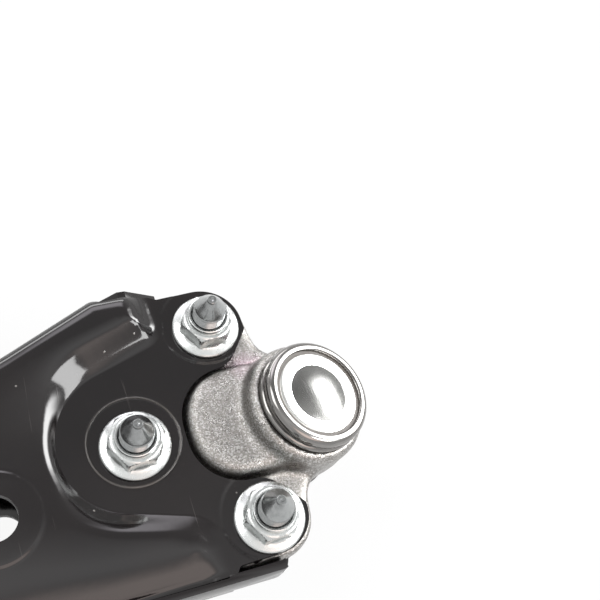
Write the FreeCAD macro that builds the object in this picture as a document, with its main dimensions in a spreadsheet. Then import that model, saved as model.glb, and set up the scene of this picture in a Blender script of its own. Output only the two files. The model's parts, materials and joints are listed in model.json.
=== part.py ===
"""Front lower control arm: two pressed shells, a front bush, a rear bush and a bolted ball joint.

Frame: millimetres, +X outboard to the ball joint, +Y rearward, +Z up to the nut side.
The origin is the centre of the front bush's bolt bore, whose axis lies along Y.
"""
import FreeCAD, Part
import math
import os

import Sketcher

os.makedirs("parts", exist_ok=True)
doc = FreeCAD.newDocument("control_arm")
V = FreeCAD.Vector
UP = V(0, 0, 1)

# --------------------------------------------------------------------------- driving dimensions
DIMENSIONS = [
    # pressed shells, by height above the bush axis
    ("sheet_wall", 2.5), ("nest_gap", 0.3), ("lid_top", 13.0), ("pad_top", 7.0), ("lid_rim", -1.5),
    ("floor_under", -13.0), ("pan_rim", 7.5), ("pan_rear_rim", 2.0), ("press_round", 4.5),
    ("saddle_top", 22.4), ("saddle_start", 60.0), ("saddle_end", 16.0), ("saddle_round", 30.0),
    ("drain_radius", 6.5), ("drain_back", 42.0), ("drain_side", -10.5),
    # front bush, axis along Y
    ("tube_radius", 23.5), ("tube_wall", 3.0), ("tube_front", -24.0), ("tube_back", 22.0),
    ("bush_sleeve_wall", 1.5), ("collar_radius", 24.5), ("collar_wall", 1.4),
    ("snubber_radius", 25.0), ("snubber_wall", 5.0), ("rubber_recess", 7.0),
    ("pivot_radius", 13.0), ("pivot_bore", 7.15), ("pivot_half", 30.0), ("jacket_wall", 2.4),
    # rear bush, axis along Z
    ("rear_across", 0.0), ("rear_along", 290.0), ("ring_radius", 33.0), ("ring_wall", 3.0),
    ("ring_half", 20.0), ("rear_sleeve_wall", 1.5), ("lining_wall", 1.6), ("hub_radius", 18.5),
    ("hub_half", 17.0), ("rear_pin_radius", 12.0), ("rear_pin_bore", 6.2), ("rear_pin_half", 24.0),
    ("web_width", 22.0), ("web_half", 14.0),
    # ball joint, axis leaned outboard through the ball's centre
    ("ball_across", 345.0), ("ball_along", -23.0), ("ball_height", 2.5), ("ball_lean", 17.0),
    ("ball_radius", 12.0), ("seat_radius", 14.3), ("cup_radius", 16.5), ("rim_radius", 17.6),
    ("cup_top", 16.2), ("cap_radius", 14.2), ("cap_wall", 2.0), ("cap_sunk", 0.9), ("dome_radius", 9.2),
    ("dome_rise", 1.4),
    ("neck_radius", 5.5), ("shank_radius", 8.0), ("shank_end", 56.0), ("eye_radius", 20.0),
    ("boot_wall", 1.3),
    # bolts of the ball joint, placed from its centre
    ("bolt_back", 51.5), ("bolt_side", 2.0), ("bolt_step", 31.4), ("bolt_half", 31.7),
    ("bolt_radius", 5.0), ("bolt_play", 0.25), ("bolt_tip", 27.2), ("bolt_head", 6.5),
    ("nut_flats", 15.0), ("nut_flange", 10.6), ("nut_height", 10.2),
    ("bracket_under", -4.0), ("bracket_top", 4.5),
    # clearances
    ("running_gap", 0.05), ("soft_gap", 0.4), ("weld_radius", 2.0),
]

dims = doc.addObject("Spreadsheet::Sheet", "Dims")
for row, (alias, number) in enumerate(DIMENSIONS, start=1):
    dims.set(f"A{row}", alias)
    dims.set(f"B{row}", str(number))
    dims.setAlias(f"B{row}", alias)
doc.recompute()


def size(formula):
    """The number that a formula of the sheet's aliases comes to."""
    return float(dims.evalExpression(str(formula)))


# --------------------------------------------------------------------------- bodies and sketches
def new_body(label, placement=None):
    body = doc.addObject("PartDesign::Body", label + "_body")
    body.Label = label
    if placement:
        body.Placement = placement
    return body


def new_sketch(body, name, role="XY_Plane", level=None):
    """A sketch on one of the body's origin planes, raised to a level of the sheet."""
    sketch = body.newObject("Sketcher::SketchObject", name)
    plane = next(f for f in body.Origin.OriginFeatures if f.Role == role)
    sketch.AttachmentSupport = [(plane, "")]
    sketch.MapMode = "FlatFace"
    if level is not None:
        sketch.setExpression("AttachmentOffset.Base.z", level)
    return sketch


def extruded(body, kind, name, sketch, length, downwards=False):
    """A Pad or a Pocket of a sketch, whose length is bound to the sheet."""
    feature = body.newObject("PartDesign::" + kind, name)
    feature.Profile = sketch
    feature.Type = 0
    feature.setExpression("Length", length)
    feature.Reversed = downwards if kind == "Pad" else not downwards
    sketch.Visibility = False
    doc.recompute()
    body.Tip = feature
    return feature


def outline(sketch, corners):
    """Closed outline of straight runs, each corner (x, y, radius) rounded by a tangent arc."""
    runs = []
    count = len(corners)
    for i, (x, y, radius) in enumerate(corners):
        here = V(x, y, 0)
        before = V(*corners[i - 1][:2], 0) - here
        after = V(*corners[(i + 1) % count][:2], 0) - here
        before.normalize()
        after.normalize()
        half = before.getAngle(after) / 2
        if radius < 0.01:
            runs.append((here, None, here))
            continue
        back = radius / math.tan(half)
        middle = before + after
        middle.normalize()
        middle = here + middle * (radius / math.sin(half) - radius)
        runs.append((here + before * back, middle, here + after * back))
    for i, (start, middle, end) in enumerate(runs):
        if middle:
            sketch.addGeometry(Part.Arc(start, middle, end), False)
        following = runs[(i + 1) % count][0]
        if end.distanceToPoint(following) > 1e-4:
            sketch.addGeometry(Part.LineSegment(end, following), False)
    return sketch


def offset(corners, inward):
    """The same anticlockwise corners moved inward by a distance, with radii that follow."""
    moved = []
    count = len(corners)
    for i, (x, y, radius) in enumerate(corners):
        here = V(x, y, 0)
        a = here - V(*corners[i - 1][:2], 0)
        b = V(*corners[(i + 1) % count][:2], 0) - here
        a.normalize()
        b.normalize()
        left_a = UP.cross(a)
        left_b = UP.cross(b)
        bisector = left_a + left_b
        bisector.normalize()
        point = here + bisector * (inward / bisector.dot(left_a))
        turns_left = a.cross(b).z > 0
        grown = radius - inward if turns_left else radius + inward
        moved.append((point.x, point.y, max(grown, 0.4) if radius else 0.0))
    return moved


def circle(sketch, x, y, radius):
    """A circle whose centre and radius are bound to the sheet."""
    index = sketch.addGeometry(Part.Circle(V(size(x), size(y), 0), UP, size(radius)), False)
    for kind, formula in (("DistanceX", x), ("DistanceY", y)):
        number = sketch.addConstraint(Sketcher.Constraint(kind, -1, 1, index, 3, size(formula)))
        sketch.setExpression(f"Constraints[{number}]", str(formula))
    number = sketch.addConstraint(Sketcher.Constraint("Radius", index, size(radius)))
    sketch.setExpression(f"Constraints[{number}]", str(radius))
    return sketch


def turned(label, profile, placement=None):
    """A turned piece: its half profile of (radius, height) formulas, revolved about its Z axis."""
    body = new_body(label, placement)
    sketch = new_sketch(body, label + "_profile", "XZ_Plane")
    points = [V(size(r), size(z), 0) for r, z in profile]
    count = len(points)
    for i in range(count):
        sketch.addGeometry(Part.LineSegment(points[i], points[(i + 1) % count]), False)
    for i in range(count):
        sketch.addConstraint(Sketcher.Constraint("Coincident", i, 2, (i + 1) % count, 1))
    for i, formulas in enumerate(profile):
        for kind, formula in zip(("DistanceX", "DistanceY"), formulas):
            rule = Sketcher.Constraint(kind, -1, 1, i, 1, size(formula))
            number = sketch.addConstraint(rule)
            if str(formula) != "0":
                sketch.setExpression(f"Constraints[{number}]", str(formula))
    feature = body.newObject("PartDesign::Revolution", label + "_turned")
    feature.Profile = sketch
    feature.ReferenceAxis = (sketch, ["V_Axis"])
    feature.Angle = 360
    sketch.Visibility = False
    doc.recompute()
    body.Tip = feature
    return body


def rounded(body, name, radius, chosen):
    """A fillet on the edges of the body's tip for which chosen(edge) is true."""
    base = body.Tip
    names = [f"Edge{i}" for i, e in enumerate(base.Shape.Edges, start=1) if chosen(e)]
    feature = body.newObject("PartDesign::Fillet", name)
    feature.Base = (base, names)
    feature.setExpression("Radius", radius)
    doc.recompute()
    body.Tip = feature
    return feature


def ring_pipe(label, ring, wire, height, placement):
    """A wire ring: a torus of the given mean radius and wire radius."""
    torus = doc.addObject("Part::Torus", label + "_torus")
    torus.Label = label
    torus.setExpression("Radius1", ring)
    torus.setExpression("Radius2", wire)
    torus.Placement = placement.multiply(FreeCAD.Placement(V(0, 0, size(height)), FreeCAD.Rotation()))
    return torus


# --------------------------------------------------------------------------- places
AXIS_Y = FreeCAD.Placement(V(0, 0, 0), FreeCAD.Rotation(V(1, 0, 0), -90))
REAR = FreeCAD.Placement(V(size("rear_across"), size("rear_along"), 0), FreeCAD.Rotation())
BALL = FreeCAD.Placement(
    V(size("ball_across"), size("ball_along"), size("ball_height")),
    FreeCAD.Rotation(V(0, 1, 0), size("ball_lean")),
)
INNER_X = size("ball_across - bolt_back")
INNER_Y = size("ball_along + bolt_side")
OUTER_X = INNER_X + size("bolt_step")
BOLTS = {
    "inner": (INNER_X, INNER_Y),
    "rear": (OUTER_X, INNER_Y + size("bolt_half")),
    "front": (OUTER_X, INNER_Y - size("bolt_half")),
}
TUBE_R = size("tube_radius")
TUBE_FRONT = size("tube_front")
TUBE_BACK = size("tube_back")
SHEET = size("sheet_wall")
LAP = size("sheet_wall + nest_gap")
EAR_TIP = OUTER_X + size("bolt_radius") + 7.2
EAR_FRONT = BOLTS["front"][1] - size("nut_flange") - 0.3
EAR_REAR = BOLTS["rear"][1] + size("nut_flange") + 3.2
REAR_X = size("rear_across")
REAR_Y = size("rear_along")
RING_R = size("ring_radius")
LID_EDGE_FRONT = INNER_Y - 44.2
LID_EDGE_REAR = INNER_Y + 48.5

# --------------------------------------------------------------------------- shell outlines
# Anticlockwise from the tip: rear edge, rear leg, inner bay, front bush, front edge.
SIDES = [
    (INNER_X - 2.0, LID_EDGE_REAR, 5.0),
    (INNER_X - 96.0, INNER_Y + 10.0, 85.0),
    (REAR_X + RING_R + 1.0, REAR_Y - 26.0, 9.0),
    (REAR_X - RING_R + 2.0, REAR_Y - 22.0, 9.0),
    (TUBE_R + 52.5, TUBE_BACK - 4.0, 34.0),
    (TUBE_R - 15.5, TUBE_BACK - 4.0, 0.0),
    (TUBE_R - 11.0, -5.0, 0.0),
    (TUBE_R - 3.0, TUBE_FRONT + 4.0, 0.0),
    (TUBE_R + 36.0, TUBE_FRONT + 4.0, 80.0),
    (INNER_X - 50.0, INNER_Y - 41.0, 160.0),
]
CROWN = [
    (INNER_X + 30.0, LID_EDGE_FRONT, 10.0),
    (INNER_X + 30.0, EAR_REAR, 10.0),
] + SIDES
EAR_ROOTS = [
    (INNER_X + 16.0, INNER_Y + 29.0, 0.0),
    (INNER_X + 2.0, INNER_Y + 20.0, 0.0),
]
EARS = [
    (INNER_X + 2.0, EAR_FRONT, 0.0),
    (EAR_TIP, EAR_FRONT, 11.5),
    (EAR_TIP, EAR_REAR, 13.0),
    (INNER_X + 16.0, EAR_REAR, 0.0),
] + EAR_ROOTS
PAN = offset(
    [
        (INNER_X + 33.0, LID_EDGE_FRONT, 2.5),
        (INNER_X + 33.0, EAR_REAR + 0.5, 10.0),
    ]
    + SIDES,
    -LAP,
)
PAN_EARS = [
    (INNER_X + 2.0, EAR_FRONT - 1.0, 0.0),
    (EAR_TIP - 0.5, EAR_FRONT - 1.0, 11.0),
    (EAR_TIP - 0.5, EAR_REAR - 1.0, 12.0),
    (INNER_X + 16.0, EAR_REAR - 1.0, 0.0),
] + EAR_ROOTS
# The recess of the tip pad: round about the inner bolt, then flared to the two outer bolts.
STEP = [
    (EAR_TIP + 30, INNER_Y - 70.0, 0.0),
    (EAR_TIP + 30, INNER_Y + 70.0, 0.0),
    (INNER_X + 18.2, INNER_Y + 70.0, 0.0),
    (INNER_X + 18.2, INNER_Y + 31.3, 8.0),
    (INNER_X - 22.2, INNER_Y + 20.3, 22.0),
    (INNER_X - 22.2, INNER_Y - 13.3, 22.0),
    (INNER_X + 17.6, INNER_Y - 27.1, 12.0),
    (INNER_X + 17.6, INNER_Y - 70.0, 0.0),
]
# The cut-out that the joint's bracket rises through, flared to the ears.
CUT_OUT = [
    (INNER_X + 62.0, INNER_Y - 53.0, 0.0),
    (INNER_X + 62.0, INNER_Y + 51.0, 0.0),
    (INNER_X + 35.0, INNER_Y + 17.6, 9.0),
    (INNER_X + 15.3, INNER_Y + 16.2, 16.0),
    (INNER_X + 15.3, INNER_Y - 18.2, 16.0),
    (INNER_X + 35.0, INNER_Y - 19.6, 9.0),
]

# The pan's rear side, from the hump beside the rear ear to the rear ring.
REAR_SIDE = [
    (INNER_X - 3.0, INNER_Y + 16.0, 0.0),
    (INNER_X - 3.0, REAR_Y + 10.0, 0.0),
    (REAR_X + 12.0, REAR_Y + 10.0, 0.0),
    (REAR_X + 12.0, REAR_Y - 28.0, 0.0),
    (TUBE_R + 96.5, INNER_Y + 16.0, 0.0),
]


def box_corners(x0, y0, x1, y1):
    """A plain rectangle as corners."""
    return [(x0, y0, 0.0), (x1, y0, 0.0), (x1, y1, 0.0), (x0, y1, 0.0)]


def pocket(body, name, corners, level, depth, downwards=True):
    """Cut an outline from a level of the sheet, down or up, to a depth bound to the sheet."""
    sketch = outline(new_sketch(body, name + "_sketch", level=level), corners)
    return extruded(body, "Pocket", name, sketch, depth, downwards)


def pad(body, name, corners, level, height):
    """Raise an outline upwards from a level of the sheet."""
    sketch = outline(new_sketch(body, name + "_sketch", level=level), corners)
    return extruded(body, "Pad", name, sketch, height)


def round_hole(body, name, x, y, radius):
    """A round hole straight down through everything."""
    sketch = circle(new_sketch(body, name + "_sketch", level="Dims.lid_top + 30"), x, y, radius)
    return extruded(body, "Pocket", name, sketch, "90", True)


def cut_away(body, tool):
    """Cut another body out of this one."""
    feature = body.newObject("PartDesign::Boolean", body.Label + "_less_" + tool.Label)
    feature.Type = "Cut"
    feature.setObjects([tool])
    doc.recompute()
    body.Tip = feature
    return feature


def eye_cuts(body):
    """Cut a shell back to the front tube and to the rear ring."""
    sketch = new_sketch(body, body.Label + "_tube_circle", "XZ_Plane", "0 - Dims.tube_back - 30")
    circle(sketch, "0", "0", "Dims.tube_radius")
    extruded(body, "Pocket", body.Label + "_tube_saddle", sketch, "2 * Dims.tube_back + 60", False)
    round_hole(body, body.Label + "_ring_saddle", "Dims.rear_across", "Dims.rear_along", "Dims.ring_radius")


INNER_AT = ("Dims.ball_across - Dims.bolt_back", "Dims.ball_along + Dims.bolt_side")
OUTER_AT = INNER_AT[0] + " + Dims.bolt_step"
BOLT_AT = {
    "inner": INNER_AT,
    "rear": (OUTER_AT, INNER_AT[1] + " + Dims.bolt_half"),
    "front": (OUTER_AT, INNER_AT[1] + " - Dims.bolt_half"),
}


def bolt_holes(body):
    """Holes for the three bolts of the ball joint."""
    for name, (x, y) in BOLT_AT.items():
        round_hole(body, f"{body.Label}_hole_{name}", x, y, "Dims.bolt_radius + Dims.bolt_play")


def drain_hole(body):
    x = INNER_AT[0] + " - Dims.drain_back"
    y = INNER_AT[1] + " + Dims.drain_side"
    round_hole(body, body.Label + "_drain", x, y, "Dims.drain_radius")


def level_edge(height, tolerance=0.02):
    """Chooses the edges that lie at one height."""
    def chosen(edge):
        box = edge.BoundBox
        return abs(box.ZMin - height) < tolerance and abs(box.ZMax - height) < tolerance
    return chosen


# --------------------------------------------------------------------------- pressed shells
def inboard_of_step(walls, step, front, rear):
    """The outline of a cavity that stops at the step's wall, anticlockwise."""
    return (
        [(step[6][0], walls[front][1], 0.4), step[6], step[5], step[4], step[3]]
        + [(step[3][0], walls[rear][1], 0.4)]
        + walls[rear + 1:]
    )


def make_upper_shell():
    """The lid: crowned, with its tip pad recessed and its rim turned down."""
    body = new_body("upper_shell")
    pad(body, "lid_block", CROWN, "Dims.lid_rim", "Dims.lid_top - Dims.lid_rim")
    rounded(body, "lid_edges", "Dims.press_round", level_edge(size("lid_top")))
    add_saddle(body, "saddle", "0", 0.0)
    pocket(body, "lid_step", STEP, "Dims.lid_top + 20", "Dims.lid_top + 20 - Dims.pad_top")
    inner = offset(CROWN, SHEET)
    wall = offset(STEP, -SHEET)
    hollow = new_body("lid_hollow")
    deep = inboard_of_step(inner, wall, 0, 1)
    pad(hollow, "hollow_block", deep, "Dims.lid_rim", "Dims.lid_top - Dims.sheet_wall - Dims.lid_rim")
    rounded(hollow, "hollow_edges", "Dims.press_round - Dims.sheet_wall",
            level_edge(size("lid_top - sheet_wall")))
    add_saddle(hollow, "saddle_hollow", "Dims.sheet_wall", SHEET)
    cut_away(body, hollow)
    under_pad = "Dims.pad_top - Dims.sheet_wall - Dims.lid_rim"
    pocket(body, "lid_pad_cavity", inner, "Dims.lid_rim", under_pad, False)
    tip = box_corners(INNER_X + 17.0, INNER_Y - 70, EAR_TIP + 20, INNER_Y + 70)
    pocket(body, "lid_tip_trim", tip, "Dims.lid_rim - 1", "Dims.lid_top - Dims.lid_rim + 5", False)
    notch = box_corners(INNER_X - 3.0, INNER_Y + 38, INNER_X + 17.0, INNER_Y + 70)
    notch_depth = "Dims.lid_top - Dims.press_round - Dims.lid_rim + 1"
    pocket(body, "lid_notch", notch, "Dims.lid_rim - 1", notch_depth, False)
    pad(body, "lid_ears", EARS, "Dims.pad_top - Dims.sheet_wall", "Dims.sheet_wall")
    pocket(body, "lid_cut_out", CUT_OUT, "Dims.lid_top + 5", "40")
    eye_cuts(body)
    bolt_holes(body)
    drain_hole(body)
    return body


def add_saddle(body, name, under, inset):
    """The crown's rise on to the front tube: a wedge across the leg."""
    top = size("lid_top") - inset
    high = size("saddle_top") - inset
    low = top - size("press_round")
    start, end = size("saddle_start") - inset, size("saddle_end") - inset
    bend = size("saddle_round")
    profile = [
        (TUBE_R - 15.0, low, 0.0), (start + 6.0, low, 0.0), (start + 6.0, top, 0.0),
        (start, top, bend), (end, high, bend), (TUBE_R - 15.0, high, 0.0),
    ]
    level = f"0 - Dims.tube_back + 5 + {under}"
    side = outline(new_sketch(body, name + "_side", "XZ_Plane", level), profile)
    extruded(body, "Pad", name, side, f"Dims.tube_back - Dims.tube_front - 10 - 2 * {under}")


def make_lower_shell():
    """The pan: its floor raised to a pad at the tip, its walls standing outside the lid's rim."""
    body = new_body("lower_shell")
    pad(body, "pan_block", PAN, "Dims.floor_under", "Dims.pan_rim - Dims.floor_under")
    rounded(body, "pan_edges", "Dims.press_round", level_edge(size("floor_under")))
    pad_under = "Dims.bracket_under - Dims.sheet_wall"
    pocket(body, "pan_step", STEP, "Dims.floor_under", pad_under + " - Dims.floor_under", False)
    inner = offset(PAN, SHEET)
    wall = offset(STEP, -SHEET)
    deep = inboard_of_step(inner, wall, 0, 1)
    pocket(body, "pan_hollow", deep, "Dims.pan_rim",
           "Dims.pan_rim - Dims.floor_under - Dims.sheet_wall")
    above_pad = "Dims.pan_rim - Dims.bracket_under"
    pocket(body, "pan_pad_hollow", inner, "Dims.pan_rim", above_pad)
    tip = box_corners(INNER_X + 32.0, INNER_Y - 70, EAR_TIP + 20, INNER_Y + 70)
    pocket(body, "pan_tip_trim", tip, "Dims.pan_rim", above_pad)
    rear = box_corners(INNER_X + 20.0, INNER_Y + 30, EAR_TIP + 20, INNER_Y + 70)
    pocket(body, "pan_rear_trim", rear, "Dims.pan_rim", above_pad)
    pad(body, "pan_ears", PAN_EARS, pad_under, "Dims.sheet_wall")
    pocket(body, "pan_cut_out", CUT_OUT, "Dims.pan_rim + 5", "40")
    behind = "Dims.pan_rim + 1 - Dims.pan_rear_rim"
    pocket(body, "pan_rear_lowered", REAR_SIDE, "Dims.pan_rim + 1", behind)
    rim, low = size("pan_rim"), size("pan_rear_rim")
    slope = [
        (INNER_X - 3.1, low, 0.0), (INNER_X + 1.0, low, 0.0), (INNER_X + 7.5, rim, 0.0),
        (INNER_X + 10.0, rim, 0.0), (INNER_X + 21.0, 0.0, 0.0), (INNER_X + 21.0, rim + 1.0, 0.0),
        (INNER_X - 3.1, rim + 1.0, 0.0),
    ]
    side = outline(new_sketch(body, "pan_hump_side", "XZ_Plane", "0 - Dims.ball_along - 80"), slope)
    extruded(body, "Pocket", "pan_hump", side, "40", False)
    eye_cuts(body)
    bolt_holes(body)
    drain_hole(body)
    return body


# --------------------------------------------------------------------------- front bush
def make_front_bush():
    """The welded tube and what is pressed and bonded inside it, on the Y axis."""
    bore = "Dims.tube_radius - Dims.tube_wall"
    sleeve = bore + " - Dims.bush_sleeve_wall"
    front, back = "Dims.tube_front", "Dims.tube_back"
    collar = back + " + Dims.collar_wall"
    jacket = "Dims.pivot_radius + Dims.jacket_wall"
    rubber_bore = jacket + " + Dims.running_gap"
    rubber_front = front + " + 1.5 + Dims.rubber_recess"
    snubber = collar + " + Dims.snubber_wall"
    tube = turned("front_bush_tube", [
        (bore, front + " + 0.8"), (bore + " + 0.8", front), ("Dims.tube_radius - 0.8", front),
        ("Dims.tube_radius", front + " + 0.8"), ("Dims.tube_radius", back), (bore, back),
    ], AXIS_Y)
    outer = turned("front_bush_outer_sleeve", [
        (sleeve, front + " + 1.5"), (bore, front + " + 1.5"), (bore, back),
        ("Dims.collar_radius", back), ("Dims.collar_radius", collar), (sleeve, collar),
    ], AXIS_Y)
    rubber = turned("front_bush_rubber", [
        (rubber_bore, rubber_front + " + 3"), (sleeve, rubber_front), (sleeve, collar),
        ("Dims.snubber_radius - 1.2", collar), ("Dims.snubber_radius", collar + " + 1.2"),
        ("Dims.snubber_radius - 0.8", snubber), (rubber_bore, snubber),
    ], AXIS_Y)
    skin = turned("front_bush_jacket", [
        ("Dims.pivot_radius", "1.0 - Dims.pivot_half"), (jacket, "1.0 - Dims.pivot_half"),
        (jacket, snubber + " + 0.4"), ("Dims.pivot_radius", snubber + " + 0.4"),
    ], AXIS_Y)
    inner = turned("front_bush_inner_sleeve", [
        ("Dims.pivot_bore", "0.6 - Dims.pivot_half"), ("Dims.pivot_bore + 0.6", "0 - Dims.pivot_half"),
        ("Dims.pivot_radius - 0.4", "0 - Dims.pivot_half"), ("Dims.pivot_radius", "0.4 - Dims.pivot_half"),
        ("Dims.pivot_radius", "Dims.pivot_half - 0.4"), ("Dims.pivot_radius - 0.4", "Dims.pivot_half"),
        ("Dims.pivot_bore + 0.6", "Dims.pivot_half"), ("Dims.pivot_bore", "Dims.pivot_half - 0.6"),
    ], AXIS_Y)
    return [tube, outer, rubber, skin, inner]


# --------------------------------------------------------------------------- rear bush
def hoop(label, inside, outside, half, placement=REAR):
    """A plain ring about the placement's Z axis, as high each way as half."""
    low = f"0 - ({half})"
    return turned(label, [(inside, low), (outside, low), (outside, half), (inside, half)], placement)


def make_rear_bush():
    """The welded ring and its bush: lining, hub and sleeve, joined by two rubber webs."""
    bore = "Dims.ring_radius - Dims.ring_wall"
    sleeve = bore + " - Dims.rear_sleeve_wall"
    lining = sleeve + " - Dims.lining_wall"
    ring = hoop("rear_bush_ring", bore, "Dims.ring_radius", "Dims.ring_half")
    outer = hoop("rear_bush_outer_sleeve", sleeve, bore, "Dims.ring_half + 0.6")
    soft = hoop("rear_bush_lining", lining, sleeve, "Dims.ring_half - 2")
    hub = hoop("rear_bush_hub", "Dims.rear_pin_radius", "Dims.hub_radius", "Dims.hub_half")
    pin = hoop("rear_bush_inner_sleeve", "Dims.rear_pin_bore", "Dims.rear_pin_radius", "Dims.rear_pin_half")
    webs = []
    for name, turn in (("rear_bush_web_rear", 0), ("rear_bush_web_front", 180)):
        band = hoop(name + "_band", "Dims.hub_radius + Dims.soft_gap", lining, "Dims.web_half")
        block = doc.addObject("Part::Box", name + "_block")
        block.setExpression("Length", "Dims.web_width")
        block.setExpression("Width", "Dims.ring_radius")
        block.setExpression("Height", "2 * Dims.web_half")
        centre = FreeCAD.Placement(V(-size("web_width") / 2, 0, -size("web_half")), FreeCAD.Rotation())
        half_turn = FreeCAD.Placement(V(0, 0, 0), FreeCAD.Rotation(UP, turn))
        block.Placement = REAR.multiply(half_turn).multiply(centre)
        webs.append(common(name, band, block))
    return [ring, outer, soft, hub, pin] + webs


# --------------------------------------------------------------------------- ball joint
BRACKET = [
    (INNER_X - 12.5, INNER_Y - 10.0, 10.0),
    (INNER_X + 19.0, INNER_Y - 43.5, 9.0),
    (INNER_X + 43.9, INNER_Y - 43.5, 12.0),
    (INNER_X + 46.5, INNER_Y - 22.0, 9.0),
    (INNER_X + 71.0, INNER_Y - 21.5, 19.0),
    (INNER_X + 71.0, INNER_Y + 17.5, 19.0),
    (INNER_X + 46.5, INNER_Y + 18.0, 9.0),
    (INNER_X + 43.9, INNER_Y + 43.5, 12.0),
    (INNER_X + 19.0, INNER_Y + 43.5, 9.0),
    (INNER_X - 12.5, INNER_Y + 10.0, 10.0),
]
BOSS = [
    (INNER_X + 60.0, INNER_Y - 18.5, 15.0),
    (INNER_X + 60.0, INNER_Y + 14.5, 15.0),
    (INNER_X + 35.0, INNER_Y + 16.6, 9.0),
    (INNER_X + 16.2, INNER_Y + 15.3, 15.5),
    (INNER_X + 16.2, INNER_Y - 17.3, 15.5),
    (INNER_X + 35.0, INNER_Y - 18.6, 9.0),
]


def cylinder(name, radius, low, high, placement):
    """A Part cylinder about the placement's Z axis between two heights."""
    item = doc.addObject("Part::Cylinder", name)
    item.setExpression("Radius", radius)
    item.setExpression("Height", f"({high}) - ({low})")
    item.Placement = placement.multiply(FreeCAD.Placement(V(0, 0, size(low)), FreeCAD.Rotation()))
    return item


def sphere(name, radius, placement):
    item = doc.addObject("Part::Sphere", name)
    item.setExpression("Radius", radius)
    item.Placement = placement
    return item


def fused(label, parts):
    item = doc.addObject("Part::MultiFuse", label)
    item.Label = label
    item.Shapes = parts
    return item


def cut(label, base, tool):
    item = doc.addObject("Part::Cut", label)
    item.Label = label
    item.Base = base
    item.Tool = tool
    return item


def common(label, base, tool):
    item = doc.addObject("Part::Common", label)
    item.Label = label
    item.Base = base
    item.Tool = tool
    return item


def make_bracket():
    """The forging: a flange between the shells, a boss through the cut-out and the leaned eye."""
    plate = new_body("joint_bracket_plate")
    pad(plate, "bracket_flange", BRACKET, "Dims.bracket_under", "Dims.bracket_top - Dims.bracket_under")
    pad(plate, "bracket_boss", BOSS, "Dims.bracket_under", "Dims.pad_top + 3.5 - Dims.bracket_under")
    rounded(plate, "boss_crown", "3.0", level_edge(size("pad_top + 3.5")))
    bolt_holes(plate)
    eye = cylinder("joint_eye", "Dims.eye_radius", "-9.0", "8.0", BALL)
    collar = doc.addObject("Part::Cone", "joint_eye_taper")
    collar.setExpression("Radius1", "Dims.eye_radius")
    collar.setExpression("Radius2", "Dims.cup_radius + 1.2")
    collar.Height = 2.0
    collar.Placement = BALL.multiply(FreeCAD.Placement(V(0, 0, 8.0), FreeCAD.Rotation()))
    bore = cylinder("joint_eye_bore", "Dims.cup_radius", "-30", "30", BALL)
    relief = cylinder("joint_boot_relief", "Dims.eye_radius + 1.5", "-30", "-9.0", BALL)
    hollow = fused("joint_bracket_hollow", [bore, relief])
    return cut("joint_bracket", fused("joint_bracket_solid", [plate, eye, collar]), hollow)


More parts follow.
